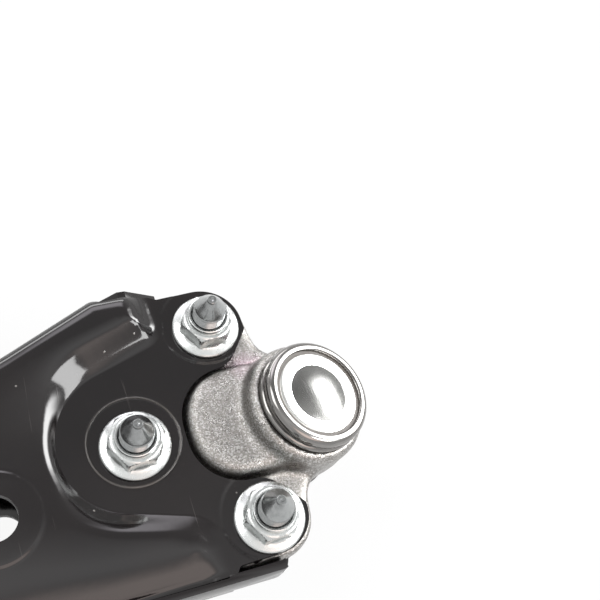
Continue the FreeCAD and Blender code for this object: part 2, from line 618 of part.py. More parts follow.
def make_ball_joint():
    """The machined cup with its cap and seat, and the ball stud below them."""
    cup = turned("joint_cup", [
        ("Dims.seat_radius - 1.7", "-12"), ("Dims.cup_radius - 0.6", "-12"), ("Dims.cup_radius", "-11.4"),
        ("Dims.cup_radius", "10.1"), ("Dims.rim_radius - 0.3", "10.3"), ("Dims.rim_radius", "10.9"),
        ("Dims.rim_radius", "Dims.cup_top - 2.2"), ("Dims.rim_radius - 0.7", "Dims.cup_top - 0.7"),
        ("Dims.rim_radius - 1.9", "Dims.cup_top"), ("Dims.seat_radius + 0.6", "Dims.cup_top"),
        ("Dims.seat_radius", "Dims.cup_top - 0.7"), ("Dims.seat_radius", "-9.0"),
        ("Dims.seat_radius - 1.7", "-9.6"),
    ], BALL)
    face = "Dims.cup_top - Dims.cap_sunk"
    under = face + " - Dims.cap_wall"
    plate = cylinder("closing_cap_plate", "Dims.cap_radius", under, face, BALL)
    reach = "(pow(Dims.dome_radius; 2) + pow(Dims.dome_rise; 2)) / (2 * Dims.dome_rise)"
    globe = sphere("closing_cap_globe", reach, BALL)
    lift = size(f"{face} + Dims.dome_rise - {reach}")
    globe.Placement = BALL.multiply(FreeCAD.Placement(V(0, 0, lift), FreeCAD.Rotation()))
    slab = cylinder("closing_cap_slab", "Dims.cap_radius", under, face + " + Dims.dome_rise + 1", BALL)
    cap = fused("closing_cap", [plate, common("closing_cap_dome", globe, slab)])
    seat_block = cylinder("seat_block", "Dims.seat_radius - Dims.running_gap", "-8.9", under + " - 0.1", BALL)
    seat_ball = sphere("seat_socket", "Dims.ball_radius + Dims.running_gap", BALL)
    seat_mouth = cylinder("seat_mouth", "9.7", "-20", "-5", BALL)
    seat = cut("ball_seat", seat_block, fused("seat_hollow", [seat_ball, seat_mouth]))
    shank = turned("stud_shank", [
        ("0", "-6"), ("Dims.neck_radius", "-6"), ("Dims.neck_radius", "-16.5"),
        ("Dims.shank_radius", "-19.5"), ("Dims.shank_radius", "-35.5"), ("Dims.shank_radius - 1.9", "-37.5"),
        ("Dims.shank_radius - 1.9", "-42"), ("Dims.shank_radius", "-44"),
        ("Dims.shank_radius", "1.5 - Dims.shank_end"), ("Dims.shank_radius - 1.5", "0 - Dims.shank_end"),
        ("0", "0 - Dims.shank_end"),
    ], BALL)
    stud = fused("ball_stud", [sphere("stud_ball", "Dims.ball_radius", BALL), shank])
    lip = "Dims.cup_radius + Dims.running_gap"
    neck = "Dims.shank_radius + 0.35"
    wall = "Dims.boot_wall"
    boot = turned("dust_boot", [
        (lip, "-9.3"), (lip + " + 1.7", "-9.3"), (lip + " + 1.7", "-11.6"), (lip + " + 3.8", "-14.2"),
        (lip + " + 2.6", "-18.2"), (neck + " + 4.6", "-21.6"), (neck + " + 1.7", "-23.6"),
        (neck + " + 1.7", "-26.8"), (neck, "-26.8"), (neck, "-22.8"), (neck + " + 3.4", "-20.6"),
        (lip + " + 2.6 - " + wall, "-17.4"), (lip + " + 3.8 - " + wall, "-14.4"), (lip, "-12.2"),
    ], BALL)
    clamp = ring_pipe("boot_clamp_ring", lip + " + 2.52", "0.8", "-10.5", BALL)
    neck_ring = ring_pipe("boot_neck_ring", neck + " + 2.42", "0.7", "-25.2", BALL)
    return [cup, cap, seat, stud, boot, clamp, neck_ring]


# --------------------------------------------------------------------------- fasteners
NUT_TURN = {"inner": 5.0, "rear": 4.0, "front": 9.5}


def hexagon(name, low, high, placement):
    """A hexagonal prism across the nut's flats between two heights."""
    item = doc.addObject("Part::Prism", name)
    item.Polygon = 6
    item.setExpression("Circumradius", "Dims.nut_flats / sqrt(3)")
    item.setExpression("Height", f"({high}) - ({low})")
    item.Placement = placement.multiply(FreeCAD.Placement(V(0, 0, size(low)), FreeCAD.Rotation()))
    return item


def make_fastener(name):
    """One bolt from below, with a cone-ended shank, and its flanged lock nut on the pad."""
    x, y = BOLTS[name]
    place = FreeCAD.Placement(V(x, y, 0), FreeCAD.Rotation(UP, NUT_TURN[name]))
    seat, head = "Dims.pad_top", "Dims.bracket_under - Dims.sheet_wall"
    shank = turned(f"bolt_shank_{name}", [
        ("0", head + " - Dims.bolt_head"), ("4.6", head + " - Dims.bolt_head"),
        ("5.2", head + " - 1.8"), ("Dims.nut_flange", head + " - 1.4"), ("Dims.nut_flange", head),
        ("Dims.bolt_radius", head), ("Dims.bolt_radius", "Dims.bolt_tip - 7.0"),
        ("Dims.bolt_radius - 0.5", "Dims.bolt_tip - 6.2"), ("Dims.bolt_radius - 0.7", "Dims.bolt_tip - 5.6"),
        ("1.5", "Dims.bolt_tip - 1.0"), ("1.2", "Dims.bolt_tip"), ("0", "Dims.bolt_tip"),
    ], place)
    hexed = hexagon(f"bolt_hex_{name}", head + " - Dims.bolt_head", head + " - 1.0", place)
    bolt = fused(f"joint_bolt_{name}", [shank, hexed])
    top = seat + " + Dims.nut_height"
    corner = "Dims.nut_flats / sqrt(3)"
    envelope = turned(f"nut_envelope_{name}", [
        ("0", seat + " + 0.5"), (corner + " + 0.2", seat + " + 0.5"), (corner + " + 0.2", top + " - 2.9"),
        ("Dims.nut_flats / 2 - 0.2", top + " - 1.9"), ("0", top + " - 1.9"),
    ], place)
    prism = hexagon(f"nut_prism_{name}", seat + " + 0.6", top, place)
    chamfered = common(f"nut_hex_{name}", prism, envelope)
    flange = turned(f"nut_flange_{name}", [
        ("0", seat), ("Dims.nut_flange - 0.3", seat), ("Dims.nut_flange", seat + " + 0.5"),
        ("Dims.nut_flange", seat + " + 1.5"), ("Dims.nut_flange - 0.5", seat + " + 2.0"),
        ("7.4", seat + " + 3.2"), ("6.6", seat + " + 4"), ("6.5", top + " - 0.5"), ("6.1", top), ("0", top),
    ], place)
    bore = cylinder(f"nut_bore_{name}", "Dims.bolt_radius + 0.02", seat + " - 5", top + " + 5", place)
    nut = cut(f"flange_nut_{name}", fused(f"nut_solid_{name}", [chamfered, flange]), bore)
    return [bolt, nut]


# --------------------------------------------------------------------------- weld beads
def bead(label, x, y, z, length, direction):
    """A straight weld bead with round ends left plain."""
    item = doc.addObject("Part::Cylinder", label)
    item.Label = label
    item.setExpression("Radius", "Dims.weld_radius")
    item.Height = length
    item.Placement = FreeCAD.Placement(V(x, y, z), FreeCAD.Rotation(UP, direction))
    return item


def arc_bead(label, height, start, sweep):
    """A weld bead round part of the rear ring."""
    item = doc.addObject("Part::Torus", label)
    item.Label = label
    item.setExpression("Radius1", "Dims.ring_radius + 0.5")
    item.setExpression("Radius2", "Dims.weld_radius")
    item.Angle3 = sweep
    turn = FreeCAD.Placement(V(0, 0, size(height)), FreeCAD.Rotation(UP, start))
    item.Placement = REAR.multiply(turn)
    return item


def make_welds():
    """Fillet beads where the shells meet the front tube and the rear ring."""
    length = size("tube_back - tube_front") - 8
    start = V(0, TUBE_FRONT + 4, 0)
    reach = TUBE_R * TUBE_R - size("floor_under") ** 2
    low = bead("weld_tube_lower", math.sqrt(reach) + 0.6, start.y, size("floor_under") - 0.6, length, V(0, 1, 0))
    upper = arc_bead("weld_ring_upper", "Dims.lid_top + 0.6", -138, 94)
    lower = arc_bead("weld_ring_lower", "Dims.floor_under - 0.6", -138, 94)
    return [low, upper, lower]


# --------------------------------------------------------------------------- build
def check_and_export(nodes):
    """Refuse a failed feature or a bad shape, then write one STEP file a node."""
    doc.recompute()
    for item in doc.Objects:
        bad = {"Invalid", "Error"} & set(item.State)
        if bad:
            raise RuntimeError(f"{item.Name} ({item.Label}) is {sorted(bad)}")
    for item in nodes:
        if item.Shape.isNull() or not item.Shape.isValid():
            raise RuntimeError(f"{item.Label} has no valid shape")
    for item in nodes:
        item.Shape.exportStep(f"parts/{item.Label}.step")
        print(f"{item.Label:26s} solids {len(item.Shape.Solids)} volume {item.Shape.Volume:10.1f}")


def main():
    nodes = [make_upper_shell(), make_lower_shell()]
    nodes += make_front_bush()
    nodes += make_rear_bush()
    nodes += [make_bracket()] + make_ball_joint()
    for name in BOLTS:
        nodes += make_fastener(name)
    nodes += make_welds()
    check_and_export(nodes)


main()
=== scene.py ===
"""Front lower control arm: the looks of every piece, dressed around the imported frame.

The frame is in metres: +X outboard to the ball joint, +Y rearward, +Z up to the nut side.
Sizes in this file are millimetres, and the classes turn them to metres as they build.
"""
import json
import logging
import math
from dataclasses import dataclass, field
from enum import Enum
from typing import Callable, Optional, Union

import bpy
import numpy as np
from mathutils import Euler, Matrix, Vector, geometry


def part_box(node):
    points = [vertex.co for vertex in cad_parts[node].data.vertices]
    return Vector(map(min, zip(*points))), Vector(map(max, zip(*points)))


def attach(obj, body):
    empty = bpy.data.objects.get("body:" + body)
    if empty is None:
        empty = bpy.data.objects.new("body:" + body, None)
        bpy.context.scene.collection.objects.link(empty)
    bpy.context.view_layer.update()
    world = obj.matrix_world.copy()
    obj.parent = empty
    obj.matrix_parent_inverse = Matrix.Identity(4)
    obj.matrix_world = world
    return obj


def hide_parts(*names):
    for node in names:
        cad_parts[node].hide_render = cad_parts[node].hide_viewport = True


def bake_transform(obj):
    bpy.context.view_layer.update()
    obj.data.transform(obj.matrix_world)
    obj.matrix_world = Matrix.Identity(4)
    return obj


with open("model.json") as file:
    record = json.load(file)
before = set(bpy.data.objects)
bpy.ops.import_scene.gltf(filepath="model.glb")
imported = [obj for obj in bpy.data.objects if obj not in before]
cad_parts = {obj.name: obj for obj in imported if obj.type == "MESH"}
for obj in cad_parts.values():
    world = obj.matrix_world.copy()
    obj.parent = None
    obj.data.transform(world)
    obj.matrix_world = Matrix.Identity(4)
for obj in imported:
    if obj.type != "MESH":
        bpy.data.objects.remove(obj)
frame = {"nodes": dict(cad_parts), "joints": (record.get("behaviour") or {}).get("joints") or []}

logging.basicConfig(level=logging.INFO, format="%(message)s")
log = logging.getLogger("control_arm")

MM = 0.001
MERGE = 0.002  # how close two points of a CAD copy are to be joined
TURNED_MERGE = 0.0004  # and of a turned piece
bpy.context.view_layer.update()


class Body(Enum):
    """The moving bodies of the arm that a piece can ride on."""

    ARM = "root"
    FRONT_PIVOT = "front_inner"
    REAR_PIVOT = "rear_inner"
    SEAT = "ball_seat"
    NECK = "boot_neck"
    STUD = "ball_stud"


class Slot(Enum):
    """Material slots of the record."""

    PAINT = "painted_steel"
    BARE = "bare_steel"
    RUBBER = "rubber"
    FORGED = "forged_zinc"
    TURNED = "turned_steel"
    CAP = "polished_cap"
    SEAT = "seat_plastic"
    ZINC = "zinc_plate"


# --------------------------------------------------------------------------- shader helpers
Link = tuple[bpy.types.Node, Union[str, int]]


def linear(hex_colour: str) -> tuple[float, float, float, float]:
    """Turns an sRGB hex colour to linear RGBA.

    Args:
        hex_colour: six hex digits, with or without a hash.

    Returns:
        Linear red, green, blue and an alpha of 1.
    """
    digits = hex_colour.lstrip("#")
    parts = [int(digits[i:i + 2], 16) / 255 for i in (0, 2, 4)]
    return tuple(c / 12.92 if c <= 0.04045 else ((c + 0.055) / 1.055) ** 2.4 for c in parts) + (1.0,)


def feed(tree: bpy.types.NodeTree, node: bpy.types.Node, inputs: dict) -> None:
    """Sets or links a node's inputs.

    Args:
        tree: the node tree.
        node: the node.
        inputs: by socket name or index, a value, a hex colour, or a (node, output) pair to link.
    """
    for name, value in inputs.items():
        if isinstance(value, tuple) and len(value) == 2 and isinstance(value[0], bpy.types.Node):
            tree.links.new(value[0].outputs[value[1]], node.inputs[name])
        else:
            node.inputs[name].default_value = linear(value) if isinstance(value, str) else value


def add_node(tree: bpy.types.NodeTree, kind: str, inputs: Optional[dict] = None,
             **settings) -> bpy.types.Node:
    """Adds a node with its settings and its inputs.

    Args:
        tree: the node tree.
        kind: the node's type name.
        inputs: what feed takes.
        settings: attributes of the node.

    Returns:
        The new node.
    """
    node = tree.nodes.new(kind)
    for name, value in settings.items():
        setattr(node, name, value)
    feed(tree, node, inputs or {})
    return node


def per_metre(size_mm: float) -> float:
    """Texture scale whose cells are about size_mm across on Object coordinates in metres."""
    return 1000.0 / size_mm


class Nodes:
    """A node tree being built, with short names for the nodes that the finishes share."""

    def __init__(self, tree: bpy.types.NodeTree) -> None:
        """Empties the tree and adds its texture coordinates."""
        tree.nodes.clear()
        self.tree = tree
        self.place = add_node(tree, "ShaderNodeTexCoord")
        self.at: Link = (self.place, "Object")

    def add(self, kind: str, inputs: Optional[dict] = None, output: Union[str, int] = 0, **settings) -> Link:
        """Adds a shader node, and returns it with one of its outputs."""
        return add_node(self.tree, "ShaderNode" + kind, inputs, **settings), output

    def noise(self, size_mm: float, detail: float = 2.0, rough: float = 0.5,
              at: Optional[Link] = None) -> Link:
        """Cloudy pattern whose clouds are about size_mm across."""
        inputs = {"Vector": at or self.at, "Scale": per_metre(size_mm), "Detail": detail, "Roughness": rough}
        return self.add("TexNoise", inputs)

    def cells(self, size_mm: float, output: str = "Distance", at: Optional[Link] = None, **settings) -> Link:
        """Cell pattern whose cells are about size_mm across."""
        inputs = {"Vector": at or self.at, "Scale": per_metre(size_mm)}
        return self.add("TexVoronoi", inputs, output, **settings)

    def drawn_out(self, turn: tuple[float, float, float], squeeze: float) -> Link:
        """Object coordinates turned, then squeezed along Y, so that a pattern becomes long and thin."""
        return self.add("Mapping", {"Vector": self.at, "Rotation": turn, "Scale": (1.0, squeeze, 1.0)})

    def ramp(self, value: Link, *stops: tuple[float, float]) -> Link:
        """Grey ramp through two (place, grey level) stops."""
        node = add_node(self.tree, "ShaderNodeValToRGB", {"Fac": value})
        for element, (place, grey) in zip(node.color_ramp.elements, stops):
            element.position = place
            element.color = (grey, grey, grey, 1.0)
        return node, "Color"

    def math(self, operation: str, first: Link, second: Union[Link, float] = 0.5) -> Link:
        """A sum of one or two values."""
        return self.add("Math", {0: first, 1: second}, operation=operation)

    def span(self, value: Link, low: float, high: float, start: float = 0.0, stop: float = 1.0,
             **settings) -> Link:
        """Maps start to low and stop to high."""
        inputs = {"Value": value, "From Min": start, "From Max": stop, "To Min": low, "To Max": high}
        return self.add("MapRange", inputs, **settings)

    def mix(self, share: Link, first: Union[Link, str], second: Union[Link, str]) -> Link:
        """Goes from the first colour to the second."""
        return self.add("MixRGB", {"Fac": share, "Color1": first, "Color2": second})

    def bump(self, height: Link, depth_mm: float, strength: float = 0.6,
             normal: Optional[Link] = None) -> Link:
        """Relief of a depth in millimetres, over another relief if one is given."""
        inputs = {"Height": height, "Strength": strength, "Distance": depth_mm * MM}
        return self.add("Bump", inputs | ({"Normal": normal} if normal else {}))


class Shading(Nodes):
    """A material being built."""

    def __init__(self, name: str) -> None:
        """Starts the material."""
        self.material = bpy.data.materials.new(name)
        self.material.use_nodes = True
        super().__init__(self.material.node_tree)

    def show(self, shader: Link) -> bpy.types.Material:
        """Shows a shader on the surface, and returns the material."""
        self.add("OutputMaterial", {"Surface": shader})
        return self.material

    def finish(self, inputs: dict) -> bpy.types.Material:
        """Shows one principled shader with these inputs, and returns the material."""
        return self.show(self.add("BsdfPrincipled", inputs))

    def cover(self, share: Link, below: Link, above: Link) -> bpy.types.Material:
        """Shows a mix of two shaders, and returns the material."""
        return self.show(self.add("MixShader", {"Fac": share, 1: below, 2: above}))


# --------------------------------------------------------------------------- finishes
@dataclass(frozen=True)
class DipPaint:
    """Black cathodic dip paint on pressed steel: glossy, with orange peel, dust nibs and fine scratches."""

    name: str = "black_cathodic_dip_paint_on_steel"
    colour: str = "#171415"
    haze: str = "#1F1A1A"
    dust: str = "#8F8A86"
    roughness: float = 0.085
    cloud_mm: float = 45.0
    peel_mm: float = 3.2
    peel_depth_mm: float = 0.12
    nib_mm: float = 5.5
    nib_group_mm: float = 14.0
    scratch_mm: float = 9.0
    scratch_group_mm: float = 22.0
    mark_depth_mm: float = 0.1
    film_index: float = 1.55

    def build(self) -> bpy.types.Material:
        """Builds the paint.

        Returns:
            The material. The film reads as deep warm black with soft, slightly uneven reflections.
        """
        n = Shading(self.name)
        # Cloudy film thickness: a very slight drift between black and warm brown black.
        cloud = n.noise(self.cloud_mm, 3.0)
        film = n.mix(n.ramp(cloud, (0.35, 0.0), (0.7, 1.0)), self.colour, self.haze)
        # Dust nibs: rare specks about half a millimetre across, lying under the film.
        speck = n.ramp(n.cells(self.nib_mm), (0.04, 1.0), (0.075, 0.0))
        specks = n.math("MULTIPLY", speck, n.ramp(n.noise(self.nib_group_mm), (0.56, 0.0), (0.6, 1.0)))
        # Handling scratches: short thin lines, seen as slightly brighter hairs.
        hair = n.cells(self.scratch_mm, at=n.drawn_out((0.3, 0.2, 0.9), 0.06), feature="DISTANCE_TO_EDGE")
        rare = n.ramp(n.noise(self.scratch_group_mm, 1.0), (0.62, 0.0), (0.72, 0.22))
        hairs = n.math("MULTIPLY", n.ramp(hair, (0.004, 1.0), (0.012, 0.0)), rare)
        marks = n.math("MAXIMUM", specks, hairs)
        # Orange peel: shallow waves a few millimetres long that make highlight edges wander.
        peel = n.bump(n.noise(self.peel_mm), self.peel_depth_mm, 0.12)
        return n.finish({
            "Base Color": n.mix(marks, film, self.dust),
            "Roughness": n.span(cloud, self.roughness * 0.7, self.roughness * 1.5),
            "Normal": n.bump(marks, self.mark_depth_mm, 0.5, peel),
            "IOR": self.film_index,
        })


@dataclass(frozen=True)
class Metal:
    """A metal surface: its tone, its gloss, its grain and how blotchy it is."""

    name: str
    colour: str
    shade: str
    roughness: float
    rough_spread: float
    grain_mm: float
    grain_depth_mm: float
    blotch_mm: float = 6.0
    # Shares of painted glints and painted dull shade on the crystal cells.
    painted_glint: float = 0.0
    painted_dull: float = 0.0
    brushed: bool = False
    brush_mm: float = 0.35
    tint: str = ""
    tint_at: tuple[float, float, float] = (0.0, 0.0, 0.0)
    tint_reach: float = 0.01
    tint_share: float = 0.42

    def build(self) -> bpy.types.Material:
        """Builds the metal.

        Returns:
            The material.
        """
        n = Shading(self.name)
        blotch = n.noise(self.blotch_mm, 4.0, 0.6)
        tone = n.mix(blotch, self.colour, self.shade)
        relief = n.noise(self.grain_mm, 3.0, 0.7)
        if self.painted_glint:
            # Painted glints and painted shade: some crystal cells are lightened towards white as if each
            # caught the light, and others are darkened as crystals that stay dull.
            crystal, _ = n.add("SeparateColor", {"Color": n.cells(self.grain_mm, "Color")})
            tone = n.mix(n.span((crystal, "Red"), 0.0, self.painted_glint, 0.45), tone, "#FFFFFF")
            tone = n.mix(n.span((crystal, "Green"), 0.0, self.painted_dull, 0.5), tone, "#3C3A38")
        if self.tint:
            # Interference tint of the passivated zinc near the machined seat.
            spot = n.add("VectorMath", {0: n.at, 1: self.tint_at}, "Value", operation="DISTANCE")
            tone = n.mix(n.span(spot, self.tint_share, 0.0, 0.0, self.tint_reach), tone, self.tint)
        if self.brushed:
            # Fine scratches that cross each other, as a cloth and grit leave them.
            lays = [n.noise(self.brush_mm, at=n.drawn_out((0.0, 0.0, lean), 0.07)) for lean in (0.5, -0.7)]
            relief = n.math("MULTIPLY", *lays)
        smoothest = max(self.roughness - self.rough_spread, 0.02)
        return n.finish({
            "Base Color": tone,
            "Roughness": n.span(blotch, smoothest, self.roughness + self.rough_spread, 0.3, 0.7),
            "Normal": n.bump(relief, self.grain_depth_mm),
            "Metallic": 1.0,
        })


@dataclass(frozen=True)
class Soft:
    """Moulded rubber or plastic: a matt skin with a fine moulded grain."""

    name: str
    colour: str
    pale: str
    roughness: float
    grain_mm: float = 0.8
    depth_mm: float = 0.04
    blotch_mm: float = 9.0

    def build(self) -> bpy.types.Material:
        """Builds the skin.

        Returns:
            The material.
        """
        n = Shading(self.name)
        bloom = n.noise(self.blotch_mm, 5.0)
        return n.finish({
            "Base Color": n.mix(bloom, self.colour, self.pale),
            "Roughness": n.span(bloom, self.roughness - 0.1, min(self.roughness + 0.15, 1.0)),
            "Normal": n.bump(n.noise(self.grain_mm, 3.0), self.depth_mm),
        })


def box_centre(node: str) -> Vector:
    """Centre of a CAD node's box, in millimetres."""
    low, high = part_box(node)
    return (low + high) / 2 / MM


@dataclass
class Finishes:
    """Every finish of the arm, built once, and how a piece is dressed in one."""

    made: dict[Slot, bpy.types.Material] = field(default_factory=dict)
    extra: dict[str, bpy.types.Material] = field(default_factory=dict)

    def build(self) -> "Finishes":
        """Builds the materials.

        Returns:
            This object.
        """
        cup = box_centre("joint_cup") * MM
        by_slot = {
            Slot.PAINT: DipPaint(),
            # Bright, faintly bluish plate that is white where it faces the light.
            Slot.ZINC: Metal("bright_zinc_plate_on_steel", "#D9DBDA", "#B3B6B5", 0.28, 0.08, 0.5, 0.02,
                             blotch_mm=3.0),
            # Warm grey with painted glints and painted dull spots on its crystals, and a pink bloom beside
            # the cup.
            Slot.FORGED: Metal("zinc_plated_steel_forging", "#A19E9A", "#76736F", 0.3, 0.06, 0.32, 0.2,
                               painted_glint=0.4, painted_dull=0.5, tint="#C79BB4",
                               tint_at=(cup.x - 0.013, cup.y + 0.016, cup.z), tint_reach=0.009),
            # Darker and smoother, with long streaks of reflection round it.
            Slot.TURNED: Metal("turned_and_zinc_plated_steel", "#8F8D8B", "#7B7977", 0.15, 0.04, 0.3, 0.004),
            # Almost a mirror.
            Slot.CAP: Metal("polished_pressed_steel", "#F2F2F0", "#E2E2DF", 0.1, 0.04, 0.25, 0.003),
            # Dull grey, as a saw or a lathe leaves it.
            Slot.BARE: Metal("machined_bare_steel", "#9C9A96", "#7E7C79", 0.34, 0.1, 0.4, 0.03),
            # Matt dark grey.
            Slot.RUBBER: Soft("moulded_natural_rubber", "#3A3839", "#4C4A4B", 0.62),
            # Creamy white.
            Slot.SEAT: Soft("moulded_acetal", "#E9E6DC", "#DEDACE", 0.45),
        }
        others = {
            # Greyer than the nuts, with a turned sheen.
            "bolt": Metal("zinc_plated_rolled_steel", "#ACAEAE", "#868888", 0.22, 0.05, 0.3, 0.02,
                          blotch_mm=1.5),
            # Mid grey with crossed hairlines, so that its glints have soft edges.
            "dome": Metal("pressed_bare_steel", "#8E8E8C", "#767674", 0.2, 0.04, 0.22, 0.05, blotch_mm=2.5,
                          brushed=True),
            # Paler paint for the coined lip: a painted highlight, the thin bright line along the lip's
            # rounded edge.
            "lip": DipPaint("dip_paint_painted_highlight_edge", "#3A3634", "#5A5552", roughness=0.12),
            # Brown grey and slightly glossy: a dark bead that stands for the shade in the gap round the cap,
            # a painted shade.
            "painted_gap_shade": Soft("painted_gap_shade_skin", "#4A4541", "#625C56", 0.4, grain_mm=0.4, depth_mm=0.01),
            # Nearly black, with a silky sheen.
            "boot": Soft("moulded_chloroprene_rubber", "#1C1B1C", "#272627", 0.5, grain_mm=0.5),
        }
        self.made = {slot: plan.build() for slot, plan in by_slot.items()}
        self.extra = {name: plan.build() for name, plan in others.items()}
        return self

    def dress(self, piece: bpy.types.Object, body: Body, slot: Slot, *nodes: str, other: str = "",
              blend: Optional[tuple[Body, Vector, Vector]] = None) -> bpy.types.Object:
        """Dresses a piece, hangs it on its body unless a blend is given, and hides the CAD nodes that it
        stands for.

        Args:
            piece: the finished mesh object, at the origin.
            body: the body that it rides on.
            slot: the record's material slot, whose finish it gets.
            nodes: the CAD nodes that it replaces.
            other: the name of an extra finish to use instead.
            blend: for a soft piece, a body and the places where a stretch would start and end; only whether
                it is given is read, and such a piece stays in place with no body.

        Returns:
            The piece.
        """
        piece.data.materials.clear()
        piece.data.materials.append(self.extra[other] if other else self.made[slot])
        if blend:
            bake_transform(piece)
        else:
            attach(piece, body.value)
        if nodes:
            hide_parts(*nodes)
        return piece


# --------------------------------------------------------------------------- mesh helpers
def select_only(*objects: bpy.types.Object) -> None:
    """Selects these objects alone, the last one active."""
    bpy.ops.object.select_all(action="DESELECT")
    for item in objects:
        item.select_set(True)
        bpy.context.view_layer.objects.active = item


def edit_all(piece: bpy.types.Object, *operations: Callable[[], object]) -> None:
    """Runs each edit mode operation on a whole mesh.

    Args:
        piece: the object.
        operations: what to run, each with everything selected.
    """
    select_only(piece)
    bpy.ops.object.mode_set(mode="EDIT")
    for operation in operations:
        bpy.ops.mesh.select_all(action="SELECT")
        operation()
    bpy.ops.object.mode_set(mode="OBJECT")


def outward() -> None:
    """Turns the normals of the selected faces outwards."""
    bpy.ops.mesh.normals_make_consistent(inside=False)


def merged_copy(node: str, name: str) -> bpy.types.Object:
    """Copies a CAD node and joins its loose triangles.

    Args:
        node: the CAD node.
        name: the new piece's name.

    Returns:
        The copy, with its own merged mesh.
    """
    source = frame["nodes"][node]
    copy = bpy.data.objects.new(name, source.data.copy())
    copy.data.name = name
    bpy.context.scene.collection.objects.link(copy)
    copy.data.materials.clear()
    edit_all(copy, lambda: bpy.ops.mesh.remove_doubles(threshold=MERGE * MM),
             bpy.ops.mesh.customdata_custom_splitnormals_clear)
    return copy


def apply_modifier(piece: bpy.types.Object, kind: str, **settings) -> None:
    """Adds a modifier, sets it and applies it.

    Args:
        piece: the object.
        kind: the modifier's type.
        settings: its attributes.
    """
    modifier = piece.modifiers.new(kind.lower(), kind)
    for name, value in settings.items():
        setattr(modifier, name, value)
    select_only(piece)
    bpy.ops.object.modifier_apply(modifier=modifier.name)


def smooth_by_angle(piece: bpy.types.Object, degrees: float = 30.0) -> None:
    """Shades a piece smooth except across sharp edges."""
    select_only(piece)
    bpy.ops.object.shade_smooth_by_angle(angle=math.radians(degrees))


def mesh_object(name: str, points: np.ndarray, faces: list) -> bpy.types.Object:
    """Makes an object of millimetre points and faces.

    Args:
        name: the object's name.
        points: N by 3 places in millimetres.
        faces: index tuples.

    Returns:
        The object.
    """
    mesh = bpy.data.meshes.new(name)
    mesh.from_pydata([tuple(p) for p in points * MM], [], faces)
    mesh.update()
    piece = bpy.data.objects.new(name, mesh)
    bpy.context.scene.collection.objects.link(piece)
    return piece


def lathe(name: str, profile: list[tuple[float, float]], place: Matrix, sides: int = 96,
          closed: bool = True) -> bpy.types.Object:
    """Turns a profile about Z by extruding a circle ring by ring, as on a lathe.

    Args:
        name: the object's name.
        profile: (radius, height) in millimetres. A radius next to 0 ends on the axis.
        place: where the turned piece goes, in metres.
        sides: points round the circle.
        closed: whether the last ring joins the first, as on a ring.

    Returns:
        The turned piece, with its place in its mesh.
    """
    radius, height = profile[0]
    bpy.ops.object.select_all(action="DESELECT")
    bpy.ops.mesh.primitive_circle_add(vertices=sides, radius=radius * MM, location=(0, 0, 0))
    piece = bpy.context.object
    piece.name = piece.data.name = name
    bpy.ops.object.mode_set(mode="EDIT")
    bpy.ops.mesh.select_all(action="SELECT")
    bpy.ops.transform.translate(value=(0, 0, height * MM))
    for next_radius, next_height in profile[1:] + (profile[:1] if closed else []):
        rise = (0, 0, (next_height - height) * MM)
        bpy.ops.mesh.extrude_region_move(TRANSFORM_OT_translate={"value": rise})
        scale = next_radius / radius
        bpy.ops.transform.resize(value=(scale, scale, 1.0), center_override=(0, 0, next_height * MM))
        radius, height = next_radius, next_height
    bpy.ops.object.mode_set(mode="OBJECT")
    edit_all(piece, lambda: bpy.ops.mesh.remove_doubles(threshold=TURNED_MERGE * MM), outward)
    piece.data.transform(place)
    piece.matrix_world = Matrix.Identity(4)
    return piece


def skin(name: str, sections: list[np.ndarray], looped: bool) -> bpy.types.Object:
    """Skins a row of closed sections.

    Args:
        name: the object's name.
        sections: each a K by 3 array of places in millimetres.
        looped: whether the last section joins the first. If not, both ends are capped.

    Returns:
        The object.
    """
    count = len(sections[0])
    total = len(sections)
    faces: list[tuple[int, ...]] = []
    for i in range(total if looped else total - 1):
        a, b = i * count, ((i + 1) % total) * count
        faces += [(a + k, a + (k + 1) % count, b + (k + 1) % count, b + k) for k in range(count)]
    if not looped:
        faces += [tuple(range(count)), tuple(range((total - 1) * count, total * count))]
    piece = mesh_object(name, np.concatenate(sections), faces)
    edit_all(piece, outward)
    smooth_by_angle(piece, 50)
    return piece


# --------------------------------------------------------------------------- plan outlines
Corner = tuple[float, float, float]


def rounded_loop(corners: list[Corner], step: float = 1.2) -> np.ndarray:
    """Samples a closed outline whose corners are rounded by tangent arcs.

    Args:
        corners: (x, y, radius) in millimetres, anticlockwise.
        step: longest run between samples.

    Returns:
        N by 2 points.
    """
    runs: list[np.ndarray] = []
    count = len(corners)
    for i, (x, y, radius) in enumerate(corners):
        here = np.array((x, y), float)
        before = np.array(corners[i - 1][:2], float) - here
        after = np.array(corners[(i + 1) % count][:2], float) - here
        before /= np.linalg.norm(before)
        after /= np.linalg.norm(after)
        if radius < 0.01:
            runs.append(here[None, :])
            continue
        half = math.acos(float(np.clip(before @ after, -1, 1))) / 2
        back = radius / math.tan(half)
        start, end = here + before * back, here + after * back
        middle = before + after
        middle /= np.linalg.norm(middle)
        centre = here + middle * (radius / math.sin(half))
        a0 = math.atan2(*(start - centre)[::-1])
        a1 = math.atan2(*(end - centre)[::-1])
        sweep = (a1 - a0 + math.pi) % (2 * math.pi) - math.pi
        pieces = max(3, int(abs(sweep) * radius / step) + 1)
        angles = a0 + sweep * np.linspace(0, 1, pieces + 1)
        runs.append(centre + radius * np.stack([np.cos(angles), np.sin(angles)], 1))
    points: list[np.ndarray] = []
    for i, run in enumerate(runs):
        points.extend(run)
        following = runs[(i + 1) % count][0]
        gap = following - run[-1]
        length = float(np.linalg.norm(gap))
        pieces = int(length / step)
        for k in range(1, pieces + 1):
            if k / (pieces + 1) * length > 0.05:
                points.append(run[-1] + gap * k / (pieces + 1))
    kept = [points[0]]
    for point in points[1:]:
        if np.linalg.norm(point - kept[-1]) > 0.05:
            kept.append(point)
    if np.linalg.norm(kept[0] - kept[-1]) < 0.05:
        kept.pop()
    return np.array(kept)


